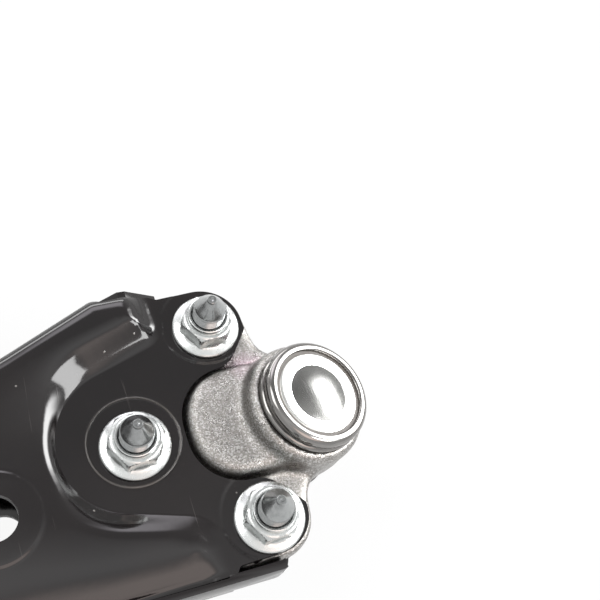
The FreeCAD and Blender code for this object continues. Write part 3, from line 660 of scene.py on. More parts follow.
def ring_loop(x: float, y: float, radius: float, count: int = 48) -> np.ndarray:
    """Points round a circle, anticlockwise."""
    angles = np.linspace(0, 2 * math.pi, count, endpoint=False)
    return np.stack([x + radius * np.cos(angles), y + radius * np.sin(angles)], 1)


def inside(points: np.ndarray, loop: np.ndarray) -> np.ndarray:
    """Which points lie inside a closed loop.

    Args:
        points: N by 2.
        loop: M by 2.

    Returns:
        N booleans.
    """
    result = np.zeros(len(points), bool)
    ends = np.roll(loop, -1, axis=0)
    px, py = points[:, 0], points[:, 1]
    for (x0, y0), (x1, y1) in zip(loop, ends):
        crosses = (y0 > py) != (y1 > py)
        if abs(y1 - y0) < 1e-12:
            continue
        result ^= crosses & (px < (x1 - x0) * (py - y0) / (y1 - y0) + x0)
    return result


def distance(points: np.ndarray, loop: np.ndarray) -> np.ndarray:
    """Distance of each point from a closed loop, positive inside it.

    Args:
        points: N by 2.
        loop: M by 2.

    Returns:
        N distances in the loop's units.
    """
    start, end = loop, np.roll(loop, -1, axis=0)
    run = end - start
    length = np.maximum((run ** 2).sum(1), 1e-12)
    best = np.full(len(points), 1e9)
    for first in range(0, len(points), 4000):
        block = points[first:first + 4000]
        away = block[:, None, :] - start[None]
        along = np.clip((away * run[None]).sum(2) / length[None], 0, 1)
        gap = away - along[..., None] * run[None]
        best[first:first + 4000] = np.sqrt((gap ** 2).sum(2)).min(1)
    return np.where(inside(points, loop), best, -best)


def inset_rows(loop: np.ndarray, offsets: list[float]) -> np.ndarray:
    """Copies of a loop moved to its left by each offset.

    Args:
        loop: M by 2, anticlockwise.
        offsets: distances, positive inwards.

    Returns:
        All the moved points.
    """
    tangent = np.roll(loop, -1, axis=0) - np.roll(loop, 1, axis=0)
    tangent /= np.linalg.norm(tangent, axis=1)[:, None]
    left = np.stack([-tangent[:, 1], tangent[:, 0]], 1)
    return np.concatenate([loop + left * offset for offset in offsets])


def smoothstep(low: float, high: float, value: np.ndarray) -> np.ndarray:
    """Smooth rise from 0 at low to 1 at high."""
    t = np.clip((value - low) / (high - low), 0, 1)
    return t * t * (3 - 2 * t)


# --------------------------------------------------------------------------- pressed shells
@dataclass
class UpperShell:
    """The lid of the arm: a crowned pressing, recessed at the tip round the three nuts.

    Its height is a smooth function over its plan, which primitives can't be shaped to, so its mesh is
    triangulated from its outline and feature lines and lifted to that height.
    """

    finishes: Finishes
    lid_top: float = 13.0
    pad_top: float = 7.0
    lid_rim: float = -1.5
    sheet: float = 2.5
    saddle_rise: float = 9.4
    saddle_start: float = 60.0
    saddle_end: float = 17.0
    edge_roll: float = 6.0
    front_roll: float = 24.0
    roll_drop: float = 4.6
    front_drop: float = 4.2
    camber: float = 2.2
    wall_rise: float = 2.3
    wall_reach: float = 4.4
    wall_spread: float = 3.6
    fall_reach: float = 28.0
    ramp_width: float = 12.0
    coin_radius: float = 13.8
    coin_depth: float = 0.35
    coin_shift: float = 1.6
    drain_radius: float = 6.5
    bolt_hole: float = 5.25
    grid: float = 2.0
    skirt_rows: int = 3
    tube_radius: float = 23.5
    leg_rear: float = 18.0
    leg_front: float = -20.0
    ring_radius: float = 33.0

    def __post_init__(self) -> None:
        """Finds the bolts and the bushes in the frame."""
        self.nuts = [box_centre(f"flange_nut_{n}") for n in ("inner", "rear", "front")]
        self.ix, self.iy = self.nuts[0].x, self.nuts[0].y
        self.rear = box_centre("rear_bush_ring")
        self.drain = (self.ix - 42.0, self.iy - 10.5)

    def sides(self) -> list[Corner]:
        """The rim from the rear notch round the rear leg, the bay and the front leg."""
        ix, iy = self.ix, self.iy
        return [
            (ix - 2.0, iy + 48.5, 5.0), (ix - 96.0, iy + 10.0, 85.0), (34.0, 264.0, 9.0), (-31.0, 268.0, 9.0),
            (76.0, self.leg_rear, 34.0), (59.5, self.leg_front, 80.0), (ix - 50.0, iy - 41.0, 160.0),
        ]

    def crown(self) -> np.ndarray:
        """The crown's own rim, carried on past the tip."""
        ix, iy = self.ix, self.iy
        sides = self.sides()
        past_tube = [(-40.0, self.leg_rear, 0.0), (-40.0, self.leg_front, 0.0)]
        past_tip = [(ix + 90, iy - 44.2, 0), (ix + 90, iy + 45.5, 0)]
        return rounded_loop(past_tip + sides[:5] + past_tube + sides[5:])

    def tube_seat(self) -> list[Corner]:
        """Where the lid lands on the front tube, from the bay's side to the front.

        Returns:
            Sharp corners along the tube.
        """
        y = np.linspace(self.leg_rear, self.leg_front, 30)
        x = np.full(len(y), 12.0)
        for _ in range(12):
            z = self.height(np.stack([x, y], 1))
            x = 0.5 * x + 0.5 * np.sqrt(np.maximum(self.tube_radius ** 2 - z ** 2, 4.0))
        return [(float(a), float(b), 0.0) for a, b in zip(x, y)]

    def ring_seat(self, loop: np.ndarray) -> np.ndarray:
        """Cuts an outline back to the rear ring.

        Args:
            loop: the outline.

        Returns:
            The outline with an arc in place of what lay inside the ring.
        """
        centre = np.array((self.rear.x, self.rear.y))
        within = np.linalg.norm(loop - centre, axis=1) < self.ring_radius
        first = next(i for i in range(len(loop)) if within[i] and not within[i - 1])
        count = int(within.sum())
        start, end = loop[first - 1], loop[(first + count) % len(loop)]
        a0 = math.atan2(*(start - centre)[::-1])
        a1 = math.atan2(*(end - centre)[::-1])
        sweep = (a1 - a0 + math.pi) % (2 * math.pi) - math.pi
        angles = a0 + sweep * np.linspace(0, 1, 60)
        arc = centre + self.ring_radius * np.stack([np.cos(angles), np.sin(angles)], 1)
        turned = np.roll(loop, -first, axis=0)[count:]
        return np.concatenate([arc, turned])

    def plan(self) -> tuple[np.ndarray, np.ndarray]:
        """The whole pressing's outline.

        Returns:
            The outline's points, and for each whether the rim is turned down after it.
        """
        ix, iy = self.ix, self.iy
        tip = ix + 43.6
        corners = [
            (ix + 17.5, iy - 44.2, 0.8), (ix + 19.0, iy - 42.2, 1.2), (tip, iy - 42.2, 11.0),
            (tip, iy - 30.4, 1.5), (ix + 35.0, iy - 19.6, 9.0), (ix + 15.3, iy - 18.2, 16.0),
            (ix + 15.3, iy + 16.2, 16.0), (ix + 35.0, iy + 17.6, 9.0), (tip, iy + 28.4, 1.5),
            (tip, iy + 45.3, 13.0), (ix + 19.0, iy + 45.3, 2.0), (ix + 16.5, iy + 46.7, 1.5),
            (ix + 1.5, iy + 46.4, 3.0),
        ] + self.sides()[:5] + self.tube_seat() + self.sides()[5:]
        loop = self.ring_seat(rounded_loop(corners))
        following = np.roll(loop, -1, axis=0)
        middle = (loop + following) / 2
        front = (middle[:, 1] < iy - 40) & (middle[:, 0] < ix + 17.6)
        rear = (middle[:, 1] > iy) & (middle[:, 0] < ix - 1.0)
        leg = middle[:, 0] < ix - 30
        tube = (middle[:, 0] < 23.5) & (np.abs(middle[:, 1] + 1.0) < 18.6)
        ring = np.hypot(middle[:, 0] - self.rear.x, middle[:, 1] - self.rear.y) < self.ring_radius + 0.05
        return loop, (front | rear | leg) & ~tube & ~ring

    def step(self) -> np.ndarray:
        """The crisp foot of the recess round the nuts."""
        ix, iy = self.ix, self.iy
        return rounded_loop([
            (ix + 74, iy - 70, 0), (ix + 74, iy + 70, 0), (ix + 18.2, iy + 70, 0),
            (ix + 18.2, iy + 31.3, 8.0), (ix - 22.2, iy + 20.3, 22.0), (ix - 22.2, iy - 13.3, 22.0),
            (ix + 17.6, iy - 27.1, 12.0), (ix + 17.6, iy - 70, 0),
        ], 1.0)

    def height(self, points: np.ndarray) -> np.ndarray:
        """Height of the pressing's upper face.

        Args:
            points: N by 2 places in the plan.

        Returns:
            N heights.
        """
        x, y = points[:, 0], points[:, 1]
        edge = np.maximum(distance(points, self.crown()), 0)
        # The front of the crown falls away in one long curve, the other sides in a tight one.
        front = smoothstep(14, -20, y - self.iy) * smoothstep(70, 130, x) * (x < self.ix + 90)
        t = np.clip(1 - edge / self.edge_roll, 0, 1)
        tight = self.roll_drop * (1 - np.sqrt(np.maximum(1 - t ** 2, 0)))
        t = np.clip(1 - edge / self.front_roll, 0, 1)
        broad = self.front_drop * t ** 2 + 1.2 * t ** 9
        crown = self.lid_top - tight * (1 - front) - broad * front
        crown -= self.camber * (np.clip(self.iy + 24 - y, 0, 60) / 60) ** 1.6 * smoothstep(60, 120, x)
        crown += self.saddle_rise * smoothstep(self.saddle_start, self.saddle_end, x) * smoothstep(60, 24, y)
        # A low ring is coined round the drain hole.
        drain = np.hypot(x - self.drain[0], y - self.drain[1])
        crown += 0.35 * smoothstep(13.6, 12.6, drain)
        foot = -distance(points, self.step())
        rear_ramp = smoothstep(18, 42, y - self.iy)
        front_ramp = smoothstep(-24, -34, y - self.iy) * smoothstep(0, 12, x - self.ix)
        ramp = np.maximum(rear_ramp, front_ramp)
        # Inboard of the inner nut the wall is short and steep. It widens to the front and to the rear,
        # and past it the crown climbs slowly.
        wide = np.maximum(smoothstep(-2, -18, y - self.iy), smoothstep(10, 26, y - self.iy))
        reach = self.wall_reach + self.wall_spread * wide
        share = (self.wall_rise + 0.9 * wide) / (self.lid_top - self.pad_top)
        t = np.clip(foot / reach, 0, 1)
        wall = (1 - (1 - t) ** 2) * (1 - 0.6 * wide) + t * t * (3 - 2 * t) * 0.6 * wide
        climb = 1 - (1 - np.clip(foot / self.fall_reach, 0, 1)) ** 1.8
        rolled = share * wall + (1 - share) * climb
        # At the rear edge and the front corner it opens into a long ramp.
        t = np.clip(foot / self.ramp_width, 0, 1)
        waved = t * t * t * (t * (t * 6 - 15) + 10)
        rise = rolled * (1 - ramp) + waved * ramp
        rise *= smoothstep(-0.2, 0.35, foot)
        height = self.pad_top + (crown - self.pad_top) * rise
        for nut in self.nuts:
            away = np.hypot(x - nut.x, y - nut.y - self.coin_shift)
            pressed = smoothstep(self.coin_radius + 0.35, self.coin_radius - 0.25, away)
            if nut is not self.nuts[0]:
                pressed *= 0.6
            height -= self.coin_depth * pressed * (foot < -0.5)
        return height

    def feature_rows(self, loop: np.ndarray) -> np.ndarray:
        """Rows of points along the rim, the recess's foot, the coined seats and the drain's ring.

        Args:
            loop: the outline.

        Returns:
            The points, which lie closest together where the height bends most.
        """
        foot_rows = (-1.0, -0.4, -0.1, 0.15, 0.45, 0.8, 1.3, 2.0, 2.9, 4.0, 5.3, 6.8, 8.4, 10.2, 12.2)
        coin_rows = (13.1, 13.5, 13.75, 14.0, 14.3, 14.8)
        rows = [inset_rows(loop, [0.25, 0.7, 1.3, 2.1, 3.1, 4.3, 5.6])]
        rows.append(inset_rows(self.step(), [-r for r in foot_rows]))
        rows += [ring_loop(nut.x, nut.y + self.coin_shift, r, 96) for nut in self.nuts for r in coin_rows]
        rows += [ring_loop(*self.drain, r, 72) for r in (7.0, 8.0, 12.4, 12.8, 13.2, 13.7, 14.3)]
        return np.concatenate(rows)

    def lattice(self, loop: np.ndarray) -> np.ndarray:
        """An even grid of points over an outline, with every other line shifted by half a step."""
        low, high = loop.min(0), loop.max(0)
        columns = np.arange(low[0], high[0], self.grid)
        lines = np.arange(low[1], high[1], self.grid * 0.866)
        return np.array([(cx + (i % 2) * self.grid / 2, cy) for i, cy in enumerate(lines) for cx in columns])

    def triangulate(self, loop: np.ndarray,
                    holes: list[np.ndarray]) -> tuple[np.ndarray, list[tuple[int, ...]], dict[int, int]]:
        """Fills an outline, less its holes, with triangles.

        Args:
            loop: the outline.
            holes: loops of the holes.

        Returns:
            The points in the plan, the faces, and by its number the point that each outline point became.
        """
        kept = self.thin(loop, holes, self.feature_rows(loop), self.lattice(loop))
        fixed = [loop] + holes
        edges: list[tuple[int, int]] = []
        start = 0
        for item in fixed:
            count = len(item)
            edges += [(start + k, start + (k + 1) % count) for k in range(count)]
            start += count
        vectors = [Vector(p) for p in np.concatenate(fixed + [kept])]
        flat, _, faces, origin, _, _ = geometry.delaunay_2d_cdt(vectors, edges, [], 0, 1e-5)
        flat = np.array([tuple(v) for v in flat])
        middles = np.array([flat[list(f)].mean(0) for f in faces])
        keep = inside(middles, loop)
        for hole in holes:
            keep &= ~inside(middles, hole)
        place = {o: i for i, group in enumerate(origin) for o in group}
        return flat, [tuple(f) for f, good in zip(faces, keep) if good], place

    def skirt(self, solid: np.ndarray, place: dict[int, int],
              turned_down: np.ndarray) -> tuple[np.ndarray, list[tuple[int, ...]]]:
        """Turns the rim down in a skirt that stops at the tube where it meets it.

        Args:
            solid: the lid's points.
            place: the lid's point for each point of the outline.
            turned_down: for each point of the outline, whether the rim is turned down after it.

        Returns:
            The skirt's points, numbered on from the lid's, and its faces.
        """
        number: dict[tuple[int, int], int] = {}
        points: list[tuple[float, float, float]] = []
        faces: list[tuple[int, ...]] = []
        count = len(turned_down)
        turns = [k for k in range(count) if turned_down[k]]
        for k in sorted({n % count for k in turns for n in (k, k + 1)}):
            x, y, z = solid[place[k]]
            by_tube = x < self.tube_radius and y < 60
            on_tube = math.sqrt(max(self.tube_radius ** 2 - x * x, 0.0)) if by_tube else 0.0
            low = min(max(self.lid_rim, on_tube), z - 0.05)
            for level in range(1, self.skirt_rows + 1):
                number[k, level] = len(solid) + len(points)
                points.append((x, y, z + (low - z) * level / self.skirt_rows))
        for k in turns:
            n = (k + 1) % count
            above = (place[k], place[n])
            for level in range(1, self.skirt_rows + 1):
                below = (number[k, level], number[n, level])
                faces.append((above[1], above[0], below[0], below[1]))
                above = below
        return np.array(points), faces

    def build(self) -> bpy.types.Object:
        """Builds the lid.

        Returns:
            The piece.
        """
        loop, turned_down = self.plan()
        holes = [ring_loop(*self.drain, self.drain_radius)]
        holes += [ring_loop(nut.x, nut.y, self.bolt_hole, 32) for nut in self.nuts]
        flat, faces, place = self.triangulate(loop, holes)
        solid = np.column_stack([flat, self.height(flat)])
        hanging, hanging_faces = self.skirt(solid, place, turned_down)
        self.coined_lip()
        piece = mesh_object("upper_shell_pressing", np.concatenate([solid, hanging]), faces + hanging_faces)
        edit_all(piece, bpy.ops.mesh.delete_loose, outward)
        if sum(p.normal.z * p.area for p in piece.data.polygons) < 0:
            piece.data.flip_normals()
        apply_modifier(piece, "SOLIDIFY", thickness=self.sheet * MM, offset=-1.0)
        smooth_by_angle(piece, 32)
        return self.finishes.dress(piece, Body.ARM, Slot.PAINT, "upper_shell")

    def coined_lip(self) -> None:
        """Raises the sharp lip round the coined seat of the inner nut."""
        r, top = self.coin_radius, self.pad_top
        profile = [
            (r - 0.32, top - 0.6), (r - 0.28, top - 0.02), (r - 0.2, top + 0.1), (r - 0.08, top + 0.17),
            (r + 0.06, top + 0.17), (r + 0.2, top + 0.09), (r + 0.34, top - 0.03), (r + 0.36, top - 0.6),
        ]
        place = Matrix.Translation((self.ix * MM, (self.iy + self.coin_shift) * MM, 0.0))
        lip = lathe("coined_lip", profile, place, sides=160)
        smooth_by_angle(lip, 60)
        # The lip is dressed in the paler paint, a painted highlight along its edge.
        self.finishes.dress(lip, Body.ARM, Slot.PAINT, other="lip")

    def thin(self, loop: np.ndarray, holes: list[np.ndarray], free: np.ndarray,
             lattice: np.ndarray) -> np.ndarray:
        """Keeps the free points that stand clear of the outline and of each other.

        Args:
            loop: the outline.
            holes: loops of the holes.
            free: points of the feature rows.
            lattice: points of the even grid.

        Returns:
            The points to triangulate besides the outline.
        """
        chosen: list[tuple[float, float]] = [tuple(p) for p in loop]
        for hole in holes:
            chosen += [tuple(p) for p in hole]
        fixed = len(chosen)
        for points, spacing in ((free, 0.28), (lattice, 1.15)):
            ok = inside(points, loop)
            for hole in holes:
                ok &= ~inside(points, hole)
            cells: dict[tuple[int, int], list[tuple[float, float]]] = {}
            size = 1.2
            for x, y in chosen:
                cells.setdefault((int(x // size), int(y // size)), []).append((x, y))
            for x, y in points[ok]:
                cx, cy = int(x // size), int(y // size)
                near = (q for i in (-1, 0, 1) for j in (-1, 0, 1) for q in cells.get((cx + i, cy + j), ()))
                if all((q[0] - x) ** 2 + (q[1] - y) ** 2 >= spacing ** 2 for q in near):
                    cells.setdefault((cx, cy), []).append((x, y))
                    chosen.append((x, y))
        return np.array(chosen[fixed:])


# --------------------------------------------------------------------------- pieces that keep their CAD shape
@dataclass(frozen=True)
class Refined:
    """How a CAD node's copy is finished: its body, its slot and the width of its edge bevel."""

    node: str
    body: Body
    slot: Slot
    bevel: float = 0.0


REFINED = [
    Refined("lower_shell", Body.ARM, Slot.PAINT, 0.3),
    Refined("front_bush_tube", Body.ARM, Slot.PAINT),
    Refined("front_bush_outer_sleeve", Body.ARM, Slot.BARE, 0.15),
    Refined("front_bush_rubber", Body.ARM, Slot.RUBBER),
    Refined("front_bush_jacket", Body.FRONT_PIVOT, Slot.RUBBER, 0.2),
    Refined("front_bush_inner_sleeve", Body.FRONT_PIVOT, Slot.BARE),
    Refined("rear_bush_ring", Body.ARM, Slot.PAINT, 0.5),
    Refined("rear_bush_outer_sleeve", Body.ARM, Slot.BARE, 0.15),
    Refined("rear_bush_lining", Body.ARM, Slot.RUBBER, 0.3),
    Refined("rear_bush_hub", Body.REAR_PIVOT, Slot.RUBBER, 1.0),
    Refined("rear_bush_inner_sleeve", Body.REAR_PIVOT, Slot.BARE, 0.4),
    Refined("ball_seat", Body.SEAT, Slot.SEAT),
    Refined("ball_stud", Body.STUD, Slot.TURNED),
    Refined("boot_clamp_ring", Body.SEAT, Slot.TURNED),
    Refined("boot_neck_ring", Body.NECK, Slot.TURNED),
]


@dataclass
class RefinedPieces:
    """Copies of the CAD nodes whose own shape is right, with rounded edges and smooth faces."""

    finishes: Finishes
    bevel_above: float = 35.0
    smooth_below: float = 30.0

    def build(self) -> int:
        """Builds every copy.

        Returns:
            How many were made.
        """
        for plan in REFINED:
            piece = merged_copy(plan.node, plan.node + "_finished")
            if plan.bevel:
                apply_modifier(piece, "BEVEL", width=plan.bevel * MM, segments=2, limit_method="ANGLE",
                               angle_limit=math.radians(self.bevel_above))
            smooth_by_angle(piece, self.smooth_below)
            self.finishes.dress(piece, plan.body, plan.slot, plan.node)
        return len(REFINED)


# --------------------------------------------------------------------------- welds and flash
@dataclass
class WeldBeads:
    """The weld beads, each with the overlapping scallops of its weld pool."""

    finishes: Finishes
    radius: float = 1.95
    scallop: float = 1.5
    ring_radius: float = 33.5
    arc_start: float = -138.0
    arc_sweep: float = 94.0
    tube_half: float = 19.0

    def bead(self, node: str, path: np.ndarray, across: np.ndarray) -> None:
        """Lays one bead.

        Args:
            node: the CAD node that it replaces.
            path: N by 3 places along its middle.
            across: N by 3 sideways directions.
        """
        steps = np.linalg.norm(np.diff(path, axis=0), axis=1)
        along = np.concatenate([[0.0], np.cumsum(steps)])
        angles = np.linspace(0, 2 * math.pi, 20, endpoint=False)
        up = np.array((0.0, 0.0, 1.0))
        sections = []
        for place, side, run in zip(path, across, along):
            pool = (run / self.scallop) % 1.0
            wander = 1.0 + 0.04 * math.sin(run * 0.37) + 0.02 * math.sin(run * 1.13)
            end = min(run, along[-1] - run) / 1.6
            taper = math.sqrt(max(1 - (1 - min(end, 1.0)) ** 2, 0.02))
            radius = self.radius * (0.84 + 0.1 * (1 - pool ** 2)) * wander * taper
            sections.append(place + radius * (np.outer(np.cos(angles), side) + np.outer(np.sin(angles), up)))
        self.finishes.dress(skin(node + "_rippled", sections, False), Body.ARM, Slot.PAINT, node)

    def build(self) -> int:
        """Lays the beads.

        Returns:
            How many were made.
        """
        rear = box_centre("rear_bush_ring")
        angles = np.radians(np.linspace(self.arc_start, self.arc_start + self.arc_sweep, 220))
        out = np.stack([np.cos(angles), np.sin(angles), np.zeros(len(angles))], 1)
        for node in ("weld_ring_upper", "weld_ring_lower"):
            middle = np.array((rear.x, rear.y, box_centre(node).z))
            self.bead(node, middle + self.ring_radius * out, out)
        centre = box_centre("weld_tube_lower")
        y = np.linspace(-self.tube_half, self.tube_half, 150) + centre.y
        path = np.stack([np.full(len(y), centre.x), y, np.full(len(y), centre.z)], 1)
        self.bead("weld_tube_lower", path, np.tile((1.0, 0.0, 0.0), (len(y), 1)))
        return 3


@dataclass
class SnubberFlash:
    """The ragged moulding flash left round the front bush's rubber snubber."""

    finishes: Finishes
    level: float = 24.6
    inner: float = 24.5
    outer: float = 25.15
    thick: float = 0.22
    count: int = 360

    def build(self) -> None:
        """Builds the flash."""
        sections = []
        for a in np.linspace(0, 2 * math.pi, self.count, endpoint=False):
            cluster = max(0.0, math.sin(2 * a + 0.6) * math.sin(3 * a + 2.0) + 0.15)
            tear = abs(math.sin(23 * a) * math.sin(41 * a + 1.0) + 0.5 * math.sin(87 * a))
            edge = self.outer + 0.1 * math.sin(17 * a) + 1.1 * cluster * tear
            curl = 0.5 * cluster * math.sin(31 * a)
            section = []
            for radius, lift, half in ((self.inner, 0.0, 1.0), (edge, curl, 0.35)):
                for sign in ((-1, 1) if radius == self.inner else (1, -1)):
                    y = self.level + lift + sign * half * self.thick
                    section.append((radius * math.cos(a), y, radius * math.sin(a)))
            sections.append(np.array(section))
        self.finishes.dress(skin("snubber_flash", sections, True), Body.ARM, Slot.RUBBER)


# --------------------------------------------------------------------------- turned pieces
@dataclass
class JointHead:
    """The ball joint's cup with its rolled rim, and the cap under it: a polished ring round a dome."""

    finishes: Finishes
    cup: float = 16.5
    bore: float = 14.3
    rim: float = 17.6
    top: float = 16.2
    cap: float = 14.15
    cap_top: float = 15.3
    cap_edge: float = 13.0
    # How far below the cap's face the dark bead of painted gap shade lies.
    gap_shade_drop: float = 0.12
    land: float = 15.35
    dome: float = 9.2
    dome_rise: float = 1.4

    def build(self, place: Matrix) -> int:
        """Builds the cup and the cap.

        Args:
            place: the ball's centre with the joint's axis as Z, in metres.

        Returns:
            How many pieces were made.
        """
        top, rim, bore, face_top = self.top, self.rim, self.bore, self.cap_top
        roll = [(self.land + (rim - 0.25 - self.land) * math.cos(a), top - 2.2 + 2.2 * math.sin(a))
                for a in np.linspace(0.12, math.pi / 2, 11)]
        profile = [
            (bore - 1.7, -12.0), (self.cup - 0.6, -12.0), (self.cup - 0.15, -11.85), (self.cup, -11.4),
            (self.cup, 10.1), (rim - 0.35, 10.25), (rim - 0.08, 10.45), (rim, 10.8), (rim - 0.05, 11.25),
            (rim - 0.3, 11.55), (rim - 0.62, 11.8), (rim - 0.7, 12.2), (rim - 0.62, 12.6), (rim - 0.4, 13.0),
            (rim - 0.27, 13.5),
        ] + roll + [
            (bore + 0.4, top), (bore + 0.15, top - 0.08), (bore, top - 0.35), (bore, -9.0),
            (bore - 1.7, -9.6),
        ]
        cup = lathe("joint_cup_turned", profile, place, sides=144)
        smooth_by_angle(cup, 40)
        self.finishes.dress(cup, Body.ARM, Slot.TURNED, "joint_cup")
        radius = (self.dome ** 2 + self.dome_rise ** 2) / (2 * self.dome_rise)
        dome = []
        for share in (1.0, 0.93, 0.85, 0.75, 0.64, 0.52, 0.4, 0.28, 0.16, 0.06, 0.0005):
            across = self.dome * share
            dome.append((across, face_top + math.sqrt(radius ** 2 - across ** 2) - (radius - self.dome_rise)))
        under = top - 2.9
        edge = self.cap_edge
        face = [
            (self.cap, under), (self.cap, face_top - 1.0), (edge + 0.5, face_top - 0.95),
            (edge + 0.3, face_top - 0.6), (edge + 0.2, face_top - 0.25), (edge + 0.05, face_top - 0.07),
            (edge - 0.3, face_top), (self.dome + 0.25, face_top), (self.dome + 0.1, face_top - 0.03),
            (self.dome + 0.03, face_top - 0.1), (self.dome + 0.03, under),
        ]
        cap = lathe("closing_cap_pressed", face, place, sides=144)
        dome += [(0.0005, under + 0.2), (self.dome, under + 0.2)]
        pressed = lathe("closing_cap_dome", dome, place, sides=144)
        smooth_by_angle(pressed, 20)
        self.finishes.dress(pressed, Body.ARM, Slot.CAP, other="dome")
        # A dark bead that fills the gap between the cap and the rolled rim: painted shade where the deep gap
        # falls into shadow.
        level = face_top - self.gap_shade_drop
        bead = [
            (bore + 0.05, level - 0.6), (bore + 0.05, level + 0.04), (bore - 0.5, level),
            (edge + 0.35, level - 0.03), (edge - 0.02, level + 0.02), (edge - 0.02, level - 0.6),
        ]
        painted_gap_shade = lathe("closing_cap_painted_gap_shade", bead, place, sides=144)
        smooth_by_angle(painted_gap_shade, 40)
        self.finishes.dress(painted_gap_shade, Body.ARM, Slot.CAP, other="painted_gap_shade")
        smooth_by_angle(cap, 20)
        self.finishes.dress(cap, Body.ARM, Slot.CAP, "closing_cap")
        return 4


@dataclass
class Bolts:
    """The three bolts: rolled thread above the nut, a chamfer, a turned cone and its pilot tip."""

    finishes: Finishes
    radius: float = 4.95
    root: float = 4.35
    pitch: float = 1.0
    tip: float = 27.19
    flange: float = 10.6
    seat: float = -6.5

    def build(self) -> int:
        """Builds the bolts.

        Returns:
            How many were made.
        """
        seat, tip = self.seat, self.tip
        profile: list[tuple[float, float]] = [
            (0.01, seat - 6.5), (6.6, seat - 6.5), (7.3, seat - 6.1), (7.4, seat - 5.6), (7.4, seat - 2.6),
            (7.9, seat - 2.0), (self.flange - 0.4, seat - 1.5), (self.flange, seat - 1.0),
            (self.flange, seat - 0.1), (self.radius, seat - 0.02), (self.radius, tip - 14.0),
        ]
        level = tip - 13.6
        while level < tip - 6.9:
            profile += [(self.radius, level), (self.radius, level + 0.14), (self.root, level + 0.56),
                        (self.root, level + 0.66)]
            level += self.pitch
        profile += [
            (self.radius - 0.05, tip - 6.75), (self.radius - 0.05, tip - 6.45),
            (self.radius - 0.35, tip - 6.2),
            (self.radius - 0.45, tip - 6.05), (self.radius - 0.3, tip - 5.9), (self.radius - 0.45, tip - 5.5),
            (3.75, tip - 4.4), (2.75, tip - 2.6), (1.75, tip - 1.05), (1.5, tip - 0.75), (1.42, tip - 0.2),
            (1.2, tip), (0.75, tip), (0.55, tip - 0.25), (0.01, tip - 0.35),
        ]
        for name in ("inner", "rear", "front"):
            centre = box_centre(f"joint_bolt_{name}") * MM
            place = Matrix.Translation((centre.x, centre.y, 0.0))
            bolt = lathe(f"joint_bolt_{name}_rolled", profile, place, 72, False)
            smooth_by_angle(bolt, 28)
            self.finishes.dress(bolt, Body.ARM, Slot.ZINC, f"joint_bolt_{name}", other="bolt")
        return 3


@dataclass
class Nuts:
    """The flange nuts: a thin flange filleted into a hexagon, a turned chamfer and a lock collar."""

    finishes: Finishes
    seat: float = 7.0
    flats: float = 15.0
    sides: int = 144

    def build(self) -> int:
        """Builds the nuts.

        Returns:
            How many were made.
        """
        angles = np.linspace(0, 2 * math.pi, self.sides, endpoint=False)
        hexagon = self.flats / 2 / np.cos(angles % (math.pi / 3) - math.pi / 6)
        # Height above the seat, least radius and greatest radius: the hexagon shows between the two.
        rows = [
            (0.0, 10.3, 10.3), (0.35, 10.55, 10.55), (0.8, 10.6, 10.6), (1.2, 10.5, 10.5),
            (1.5, 10.15, 10.15),
            (1.75, 9.3, 9.3), (2.0, 8.45, 8.75), (2.25, 8.0, 8.6), (2.6, 7.72, 8.58), (3.0, 7.55, 8.56),
            (3.4, 7.5, 8.56), (7.0, 7.5, 8.56), (7.35, 7.4, 8.3), (7.7, 7.3, 8.0), (8.0, 7.2, 7.65),
            (8.2, 7.1, 7.3), (8.25, 6.95, 6.95), (8.27, 6.6, 6.6), (8.4, 6.5, 6.5), (9.7, 6.42, 6.42),
            (10.0, 6.3, 6.3), (10.15, 6.05, 6.05), (10.1, 5.6, 5.6), (9.6, 5.1, 5.1), (0.3, 5.02, 5.02),
            (0.0, 5.2, 5.2),
        ]
        for name in ("inner", "rear", "front"):
            centre = box_centre(f"flange_nut_{name}")
            sections = []
            for height, least, most in rows:
                radius = np.clip(hexagon, least, most)
                x, y = centre.x + radius * np.cos(angles), centre.y + radius * np.sin(angles)
                sections.append(np.column_stack([x, y, np.full(self.sides, self.seat + height)]))
            nut = skin(f"flange_nut_{name}_forged", sections, True)
            smooth_by_angle(nut, 24)
            self.finishes.dress(nut, Body.ARM, Slot.ZINC, f"flange_nut_{name}")
        return 3


# --------------------------------------------------------------------------- forging
@dataclass
class Forging:
    """The ball joint's bracket: a forged plate whose edges melt into each other."""

    finishes: Finishes
    voxel: float = 0.8
    rounds: int = 34

    def build(self) -> bpy.types.Object:
        """Builds the forging.

        Returns:
            The piece.
        """
        piece = merged_copy("joint_bracket", "joint_bracket_forged")
        apply_modifier(piece, "REMESH", mode="VOXEL", voxel_size=self.voxel * MM)
        apply_modifier(piece, "SMOOTH", factor=0.5, iterations=self.rounds)
        smooth_by_angle(piece, 60)
        return self.finishes.dress(piece, Body.ARM, Slot.FORGED, "joint_bracket")


